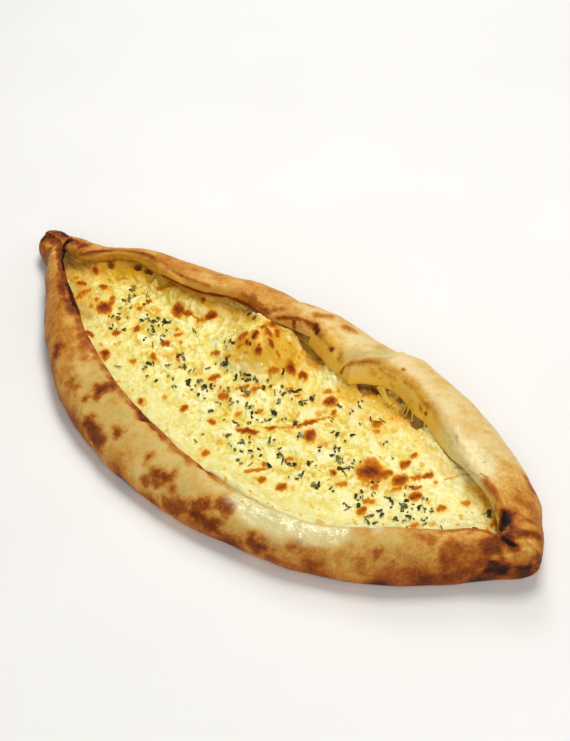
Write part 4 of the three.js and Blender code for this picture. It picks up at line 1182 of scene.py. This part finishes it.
def laid_on(points, place, normal, yaw, tilt, lift):
    """Points of a small thing laid on a surface, turned by yaw, tipped by tilt and raised by lift."""
    up = Vector((0, 0, 1)).slerp(normal, LAID_FLAT)
    turn = up.to_track_quat("Z", "Y").to_matrix() @ Matrix.Rotation(yaw, 3, "Z")
    turn = turn @ Matrix.Rotation(tilt, 3, "X")
    return points @ np.array(turn).T + np.array(place + up * lift)


def joined(name, pieces):
    """One object from several (points, faces)."""
    points, faces, offset = [], [], 0
    for piece_points, piece_faces in pieces:
        points.append(piece_points)
        faces += [tuple(offset + k for k in face) for face in piece_faces]
        offset += len(piece_points)
    return mesh_object(name, np.vstack(points), faces)


def make_herbs(surface):
    """The flakes of each colour, and the stems, laid on the cheese."""
    random = np.random.default_rng(HERB_SEED)
    kinds = {name: [] for name in HERB_SHARES}
    for u, v, spread, count in HERB_CLUSTERS:
        for _ in range(count):
            du, dv = random.normal(0, spread, 2) * SCATTER
            place, normal = seen_at(surface, u + du, v + dv)
            points, faces = flake(random)
            yaw, tilt = random.uniform(0, 2 * math.pi), random.normal(0, FLAKE_TILT)
            kind = random.choice(list(HERB_SHARES), p=list(HERB_SHARES.values()))
            kinds[kind].append((laid_on(points, place, normal, yaw, tilt, HERB_LIFT), faces))
    twigs = []
    for u, v, degrees, length in STEMS:
        place, normal = seen_at(surface, u, v)
        points, faces = stem(length, random.uniform(-STEM["bend"], STEM["bend"]))
        twigs.append((laid_on(points, place, normal, math.radians(degrees), 0, STEM_LIFT), faces))
    return [joined(name, pieces) for name, pieces in kinds.items()] + [joined("herb_stems", twigs)]


# ---- Strings of cheese, and the patch on the rim ----

STRINGS = [  # pixels where each leaves the roll and where it meets the cheese, and its radius in mm
    ((379, 386), (388, 403), 0.9), ((382, 387), (391, 405), 1.0), ((386, 390), (395, 407), 0.7),
    ((395, 396), (400, 411), 0.45), ((406, 404), (402, 413), 0.4), ((409, 406), (405, 416), 0.45),
    ((413, 409), (412, 421), 0.5), ((425, 421), (424, 429), 0.35),
]
FLARE = 0.9  # how much thicker a string is where it meets something
TUBE_UP = (0.3, 0.1, 1.0)  # a direction that no string runs along
STRING_POINTS = 14
STRING_SAG = 1.2
STRING_INTO_DOUGH, STRING_INTO_CHEESE = 0.3, 0.2
RIM_PATCH = {
    "u": 470, "v": 456, "half_length": 22, "half_width": 11, "slope": 47,  # pixels, and degrees
    "rings": 44, "spokes": 120,
    "thickness": 0.1, "strand_height": 0.8, "edge_sunk": 0.3, "into_rim": 0.45,  # mm
    "strand_level": 0.3, "strand_stretch": (1, 0.45, 1), "strands": [(2.2, 1, 40), (1.3, 0.6, 41)],
}
PATCH_OUTLINE = [(0.14, 3, 1), (0.1, 7, 2), (0.06, 13, 0)]  # waves in it: share, number, and shift


def tube(line, radii, sides=8):
    """A closed tube along a line of points."""
    rings = []
    for i, point in enumerate(line):
        ahead = line[min(i + 1, len(line) - 1)] - line[max(i - 1, 0)]
        ahead = ahead / max(np.linalg.norm(ahead), 1e-9)
        side = np.cross(ahead, TUBE_UP)
        side /= np.linalg.norm(side)
        other = np.cross(side, ahead)
        for k in range(sides):
            angle = 2 * math.pi * k / sides
            rings.append(point + radii[i] * (side * math.cos(angle) + other * math.sin(angle)))
    faces = grid_faces(len(line), sides, True)
    last = (len(line) - 1) * sides
    faces += [tuple(reversed(range(sides))), tuple(range(last, last + sides))]
    return np.array(rings), faces


def make_strings(dough, cheese):
    """Strings that sag from the thick roll to the cheese."""
    pieces = []
    for start, end, radius in STRINGS:
        a = np.array(seen_at(dough, *start)[0]) - (0, 0, STRING_INTO_DOUGH)
        b = np.array(seen_at(cheese, *end)[0]) - (0, 0, STRING_INTO_CHEESE)
        share = np.linspace(0, 1, STRING_POINTS)
        line = mix(a, b, share[:, None])
        line[:, 2] -= STRING_SAG * np.sin(math.pi * share)
        radii = radius * (1 + FLARE * np.abs(2 * share - 1) ** 3)
        pieces.append(tube(line, radii))
    return joined("cheese_strings", pieces)


def patch_pixels():
    """The pixels at which the patch shows, ring by ring, and each one's share of the way to its edge."""
    patch = RIM_PATCH
    rings, spokes = patch["rings"], patch["spokes"]
    slope = math.radians(patch["slope"])
    shares = np.linspace(0, 1, rings + 1)[1:]
    reach, angle = np.meshgrid(shares, np.arange(spokes) / spokes * 2 * math.pi, indexing="ij")
    ragged = 1 + sum(share * np.sin(waves * angle + shift) for share, waves, shift in PATCH_OUTLINE)
    along = patch["half_length"] * reach * ragged * np.cos(angle)
    across = patch["half_width"] * reach * ragged * np.sin(angle)
    u = patch["u"] + along * math.cos(slope) - across * math.sin(slope)
    v = patch["v"] + along * math.sin(slope) + across * math.cos(slope)
    pixels = np.stack([u, v], -1).reshape(-1, 2)
    return np.vstack([pixels, [(patch["u"], patch["v"])]]), np.append(reach.ravel(), 0)


def make_rim_patch(dough):
    """Shreds of cheese that have melted together on the far rim."""
    patch = RIM_PATCH
    rings, spokes = patch["rings"], patch["spokes"]
    pixels, share = patch_pixels()
    hits = [seen_at(dough, *pixel) for pixel in pixels]
    places, normals = (np.array([hit[k] for hit in hits]) for k in (0, 1))
    large, small = patch["strands"]
    strands = np.abs(layered(places * patch["strand_stretch"], [large])) + np.abs(layered(places, [small]))
    strand_relief = patch["strand_height"] * (strands - patch["strand_level"])
    thick = (1 - share**2) * (patch["thickness"] + strand_relief)
    thick -= patch["edge_sunk"] * share**2
    top, bottom = places + normals * thick[:, None], places - patch["into_rim"] * normals
    count = len(places)
    faces = grid_faces(rings, spokes, True) + fan(0, spokes, count - 1, True)
    lower = [tuple(count + k for k in reversed(face)) for face in faces]
    last = list(range((rings - 1) * spokes, rings * spokes))
    side = walls(last, [count + k for k in last])
    return mesh_object("rim_shreds", np.vstack([top, bottom]), faces + lower + side)


# ---- Materials ----

class Shader:
    """A short way to write a material's nodes."""

    def __init__(self, name):
        self.material = bpy.data.materials.new(name)
        self.material.use_nodes = True
        self.tree = self.material.node_tree
        self.surface = self.tree.nodes["Principled BSDF"]
        self.place = self.add("ShaderNodeTexCoord").outputs["Object"]

    def add(self, kind, inputs=None, **settings):
        made = self.tree.nodes.new(kind)
        for key, value in settings.items():
            setattr(made, key, value)
        for key, value in (inputs or {}).items():
            self.join(value, made.inputs[key])
        return made

    def join(self, value, socket):
        if isinstance(value, bpy.types.NodeSocket):
            self.tree.links.new(value, socket)
        else:
            socket.default_value = value

    def field(self, name):
        return self.add("ShaderNodeAttribute", attribute_name=name).outputs["Fac"]

    def noise(self, size, detail, roughness=0.55, warp=0.0):
        """Noise from 0 to 1 with features of that size in millimetres."""
        inputs = {"Vector": self.place, "Scale": 1 / (size * MM), "Detail": detail,
                  "Roughness": roughness, "Distortion": warp}
        return self.add("ShaderNodeTexNoise", inputs).outputs["Fac"]

    def math(self, operation, a, b, c=0.0, clamp=False):
        return self.add("ShaderNodeMath", {0: a, 1: b, 2: c}, operation=operation, use_clamp=clamp).outputs[0]

    def ramp(self, factor, stops):
        made = self.add("ShaderNodeValToRGB", {"Fac": factor})
        ramp = made.color_ramp
        while len(ramp.elements) < len(stops):
            ramp.elements.new(0.5)
        for element, (position, colour) in zip(ramp.elements, stops):
            element.position = position
            element.color = (*colour, 1)
        return made.outputs["Color"]

    def blend(self, factor, a, b):
        a, b = [(*c, 1) if isinstance(c, tuple) else c for c in (a, b)]
        made = self.add("ShaderNodeMix", data_type="RGBA")
        for index, value in ((0, factor), (6, a), (7, b)):
            self.join(value, made.inputs[index])
        return made.outputs[2]

    def range(self, value, low, high):
        """value from 0 to 1 taken to low to high."""
        return self.math("MULTIPLY_ADD", value, high - low, low)

    def patchy(self, name, low, high, *noise):
        """A field, from 0 to 1, made patchy by noise from low to high."""
        return self.math("MULTIPLY", self.field(name), self.range(self.noise(*noise), low, high), clamp=True)

    def finish(self, colour, roughness, bumps, **constants):
        self.join(colour, self.surface.inputs["Base Color"])
        self.join(roughness, self.surface.inputs["Roughness"])
        for key, value in constants.items():
            self.surface.inputs[key.replace("_", " ")].default_value = value
        normal = None
        for height, distance, strength in bumps:
            inputs = {"Height": height, "Distance": distance * MM, "Strength": strength}
            if normal is not None:
                inputs["Normal"] = normal
            normal = self.add("ShaderNodeBump", inputs).outputs["Normal"]
        self.join(normal, self.surface.inputs["Normal"])
        return self.material


BLACK, WHITE = (0, 0, 0), (1, 1, 1)
LIGHT_SINKS = 2.0 * MM  # into dough and cheese
# from pale to burnt; they also colour the painted shade line and the painted highlight laid in as bake
BAKE_COLOURS = [
    (0.0, (0.82, 0.65, 0.32)), (0.12, (0.79, 0.56, 0.22)), (0.22, (0.73, 0.44, 0.12)),
    (0.32, (0.65, 0.32, 0.06)), (0.43, (0.53, 0.20, 0.027)), (0.54, (0.39, 0.108, 0.013)),
    (0.66, (0.25, 0.055, 0.009)), (0.78, (0.12, 0.027, 0.007)), (0.89, (0.04, 0.011, 0.005)),
    (1.0, (0.012, 0.006, 0.004)),
]
# the oil's yellow, made brighter than oily dough is, as painted light on faces that lie in shade
OIL_AND_PAINTED_LIGHT_COLOUR = (0.96, 0.62, 0.045)
INNER_WALL = (0.58, 0.25, 0.010)
# also the colour of the painted highlight along the far rim's edge
FILM_COLOUR = (0.82, 0.78, 0.40)
TAN_AND_SHADE_TONES = [(0.3, (0.60, 0.47, 0.16)), (0.5, (0.54, 0.385, 0.10)), (0.75, (0.45, 0.28, 0.05))]


def dough_material():
    s = Shader("baked_dough")
    speckle = s.noise(1.2, 4, 0.7)
    cloud = s.noise(8, 5, 0.65, 0.5)
    bake = s.math("ADD", s.field("bake"), s.range(speckle, -0.2, 0.2))
    bake = s.math("ADD", bake, s.range(cloud, -0.24, 0.24), clamp=True)
    colour = s.ramp(bake, BAKE_COLOURS)
    pale = s.ramp(bake, [(0.15, WHITE), (0.6, BLACK)])
    # tan dough, and painted shade beside the roll's crest
    tan = s.patchy("tan", 0.2, 1.4, 9, 5, 0.65)
    tan_and_shade_tone = s.ramp(s.noise(3.5, 5, 0.7), TAN_AND_SHADE_TONES)
    colour = s.blend(s.math("MULTIPLY", tan, pale), colour, tan_and_shade_tone)
    # oil on the dough, and painted light that brightens its faces in shade
    oily = s.patchy("oily", 0.45, 1.15, 5, 3)
    brown = s.ramp(bake, [(0.3, WHITE), (0.64, BLACK)])
    colour = s.blend(s.math("MULTIPLY", oily, brown), colour, OIL_AND_PAINTED_LIGHT_COLOUR)
    inner = s.patchy("inner", 0.6, 1.2, 4, 4)
    colour = s.blend(inner, colour, INNER_WALL)
    # the melted film, and the painted highlight along the far rim's edge in its colour
    film = s.patchy("film", 0.4, 1.2, 4, 3)
    colour = s.blend(film, colour, FILM_COLOUR)
    roughness = s.range(s.noise(3, 3), 0.42, 0.62)
    wet = s.math("MAXIMUM", film, s.math("MULTIPLY", oily, 0.6))
    roughness = s.math("MULTIPLY", roughness, s.range(wet, 1.0, 0.22))
    runs = s.math("MULTIPLY", film, s.noise(2.8, 1.5, 0.5, 0.5))
    dry = s.range(film, 1.0, 0.0)
    pores = s.add("ShaderNodeTexVoronoi", {"Vector": s.place, "Scale": 1 / (2.4 * MM)}).outputs["Distance"]
    pores = s.ramp(pores, [(0.0, BLACK), (0.2, WHITE)])
    bumps = [
        (s.noise(5, 4), 0.5, 0.25),
        (s.math("MULTIPLY", speckle, dry), 0.3, 0.35),
        (s.math("MULTIPLY", s.noise(0.5, 2), dry), 0.1, 0.3),
        (s.math("MULTIPLY", pores, dry), 0.1, 0.2),
        (runs, 1.1, 1.0),
    ]
    s.join(s.range(wet, 0.07, 1.0), s.surface.inputs["Specular IOR Level"])
    return s.finish(colour, roughness, bumps, Subsurface_Weight=0.1, Subsurface_Radius=(1.0, 0.5, 0.2),
                    Subsurface_Scale=LIGHT_SINKS)


CHEESE_TONES = [  # from the pale tops of the curds, painted light, to the painted shade in the creases between them
    (0.0, (0.94, 0.90, 0.47)), (0.3, (0.89, 0.81, 0.30)), (0.55, (0.82, 0.675, 0.145)),
    (0.8, (0.70, 0.49, 0.05)), (1.0, (0.53, 0.33, 0.02)),
]
DEEP_YELLOW = (0.79, 0.45, 0.012)
SHADY_YELLOW = (0.52, 0.24, 0.010)
MELTED_CHEESE = (0.82, 0.76, 0.31)
TOAST_COLOURS = [
    (0.0, (0.90, 0.66, 0.10)), (0.25, (0.84, 0.48, 0.035)), (0.45, (0.67, 0.26, 0.012)),
    (0.65, (0.45, 0.115, 0.009)), (0.86, (0.24, 0.042, 0.007)), (1.0, (0.03, 0.008, 0.005)),
]
# the near-black of painted shade in the holes and in the openings under the far rim
HOLE_SHADE_COLOUR = (0.17, 0.05, 0.008)


def cheese_material():
    s = Shader("melted_cheese")
    fine = s.noise(1.3, 4, 0.65)
    lumps = s.noise(8, 5, 0.65, 0.6)
    tone = s.math("ADD", s.range(lumps, -0.4, 1.1), s.range(fine, -0.35, 0.35))
    tone = s.math("ADD", tone, s.field("depth"))
    # painted shade: the creases between the curds are deeper in colour, and their tops paler
    painted_crease_shade = s.math("MULTIPLY_ADD", s.field("curd"), -0.75, 0.45)
    painted_crease_shade = s.math("MULTIPLY", painted_crease_shade, s.range(s.field("melted"), 1.0, 0.6))
    colour = s.ramp(s.math("ADD", tone, painted_crease_shade, clamp=True), CHEESE_TONES)
    wet = s.patchy("smooth", -0.4, 1.5, 4, 5, 0.65)
    colour = s.blend(wet, colour, MELTED_CHEESE)
    film = s.patchy("film", 0.4, 1.2, 4, 3)
    colour = s.blend(film, colour, FILM_COLOUR)
    yellow = s.patchy("yellow", 0.3, 1.4, 3.5, 4)
    colour = s.blend(yellow, colour, DEEP_YELLOW)
    shady = s.patchy("shady", 0.4, 1.4, 3, 4)
    colour = s.blend(shady, colour, SHADY_YELLOW)
    toast = s.math("ADD", s.field("toast"), s.range(fine, -0.18, 0.18))
    shown = s.ramp(toast, [(0.1, BLACK), (0.42, WHITE)])
    colour = s.blend(shown, colour, s.ramp(toast, TOAST_COLOURS))
    # painted shade in the bubble holes and in the dark openings under the far rim
    colour = s.blend(s.field("hole"), colour, HOLE_SHADE_COLOUR)
    glints = s.ramp(s.noise(2.0, 4, 0.7), [(0.5, BLACK), (0.62, WHITE)])
    matte = s.math("MAXIMUM", s.math("MAXIMUM", shown, s.field("shady")), s.field("hole"), clamp=True)
    shine = s.math("MULTIPLY", s.range(glints, 0.08, 0.6), s.range(matte, 1.0, 0.2))
    s.join(shine, s.surface.inputs["Specular IOR Level"])
    roughness = s.range(glints, 0.45, 0.22)
    dry = s.range(s.field("melted"), 1.0, 0.3)
    bumps = [
        (s.noise(2.2, 2, 0.6, 0.8), 0.5, 0.5),
        (s.math("MULTIPLY", fine, dry), 0.3, 0.5),
        (s.math("MULTIPLY", s.noise(0.45, 2), dry), 0.12, 0.3),
    ]
    return s.finish(colour, roughness, bumps, Subsurface_Weight=0.15, Subsurface_Radius=(1.0, 0.75, 0.25),
                    Subsurface_Scale=LIGHT_SINKS)


HERB_COLOURS = {  # dark and light
    "herb_green": ((0.055, 0.055, 0.012), (0.23, 0.22, 0.05)),
    "herb_dark": ((0.018, 0.013, 0.008), (0.085, 0.06, 0.022)),
    "herb_pale": ((0.17, 0.16, 0.06), (0.40, 0.38, 0.19)),
    "herb_stems": ((0.08, 0.035, 0.012), (0.25, 0.14, 0.045)),
}
SHRED_COLOURS = {  # pale and deep
    "cheese_strings": ((0.84, 0.60, 0.09), (0.72, 0.43, 0.03)),
    "rim_shreds": ((0.95, 0.81, 0.44), (0.86, 0.64, 0.25)),
}
TABLE_GREYS = ((0.86, 0.86, 0.85), (0.9, 0.9, 0.89))


def herb_material(name):
    s = Shader(name)
    dark, light = HERB_COLOURS[name]
    colour = s.ramp(s.noise(1.8, 3, 0.7), [(0.3, dark), (0.72, light)])
    bumps = [(s.noise(0.5, 3), 0.15, 0.7)]
    return s.finish(colour, s.range(s.noise(2, 2), 0.4, 0.7), bumps, Specular_IOR_Level=0.15)


def shred_material(name):
    s = Shader(name)
    pale, deep = SHRED_COLOURS[name]
    colour = s.ramp(s.noise(2.5, 3), [(0.3, pale), (0.75, deep)])
    bumps = [(s.noise(0.8, 3), 0.2, 0.5)]
    return s.finish(colour, s.range(s.noise(1.5, 2), 0.3, 0.5), bumps, Subsurface_Weight=0.15,
                    Subsurface_Radius=(1.0, 0.8, 0.4), Subsurface_Scale=LIGHT_SINKS, Specular_IOR_Level=0.25)


def table_material():
    s = Shader("table")
    dark, light = TABLE_GREYS
    colour = s.ramp(s.noise(160, 2), [(0.3, dark), (0.7, light)])
    roughness = s.range(s.noise(40, 2), 0.6, 0.7)
    return s.finish(colour, roughness, [(s.noise(3, 2), 0.1, 0.1)])


# ---- The stage ----

FLOOR_SIZE = 4000.0
FLOOR_DROP = 0.02
LIGHTS = [  # name, azimuth and elevation of where it hangs, distance and size in mm, power in watts, colour
    ("key", 105, 72, 1100, 480, 6.0, (1.0, 0.985, 0.955)),
    ("back", 132, 46, 1200, 420, 3.4, (1.0, 0.985, 0.96)),
    ("front", -50, 40, 1300, 900, 6.2, (1.0, 0.985, 0.96)),
    ("side", 10, 35, 1300, 700, 1.5, (1.0, 0.98, 0.95)),
]
SKY = (1.0, 0.965, 0.90)
SKY_STRENGTH = 0.2


def make_camera():
    data = bpy.data.cameras.new("view")
    data.sensor_fit = "HORIZONTAL"
    data.sensor_width = VIEW["sensor"]
    data.lens = VIEW["focal"] / VIEW["width"] * VIEW["sensor"]
    data.clip_start, data.clip_end = 0.01, 20
    camera = bpy.data.objects.new("view", data)
    turn = Matrix((RIGHT, UP, BACK)).transposed().to_4x4()
    camera.matrix_world = Matrix.Translation((EYE + Vector(to_frame())) * MM) @ turn
    bpy.context.scene.collection.objects.link(camera)
    bpy.context.scene.camera = camera


def make_lights():
    for name, azimuth, elevation, distance, size, power, colour in LIGHTS:
        data = bpy.data.lights.new(name, "AREA")
        data.shape, data.size, data.energy, data.color = "DISK", size * MM, power, colour
        light = bpy.data.objects.new(name, data)
        az, el = math.radians(azimuth), math.radians(elevation)
        towards = Vector((math.cos(az) * math.cos(el), math.sin(az) * math.cos(el), math.sin(el)))
        light.location = towards * distance * MM
        light.rotation_euler = towards.to_track_quat("Z", "Y").to_euler()
        bpy.context.scene.collection.objects.link(light)


def make_world():
    world = bpy.data.worlds.new("studio")
    world.use_nodes = True
    background = world.node_tree.nodes["Background"]
    background.inputs["Color"].default_value = (*SKY, 1)
    background.inputs["Strength"].default_value = SKY_STRENGTH
    bpy.context.scene.world = world
    bpy.context.scene.view_settings.view_transform = "Standard"


def make_floor():
    half = FLOOR_SIZE / 2
    corners = [[-half, -half, 0], [half, -half, 0], [half, half, 0], [-half, half, 0]]
    floor = mesh_object("floor", np.array(corners), [(0, 1, 2, 3)])
    floor.location.z = -FLOOR_DROP * MM
    floor.data.materials.append(table_material())


# ---- Assembly ----

def dress(obj, material, node=None):
    obj.data.materials.append(material)
    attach(obj, BODY)
    if node:
        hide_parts(node)


def main():
    make_camera()
    make_world()
    make_lights()
    make_floor()
    crust, dough_surface = make_dough()
    cheese, cheese_surface = make_cheese()
    herbs = make_herbs(cheese_surface)
    strings = make_strings(dough_surface, cheese_surface)
    patch = make_rim_patch(dough_surface)
    dress(crust, dough_material(), "crust")
    dress(cheese, cheese_material(), "cheese")
    for herb in herbs:
        dress(herb, herb_material(herb.name))
    dress(strings, shred_material(strings.name))
    dress(patch, shred_material(patch.name), "rim_cheese")


main()
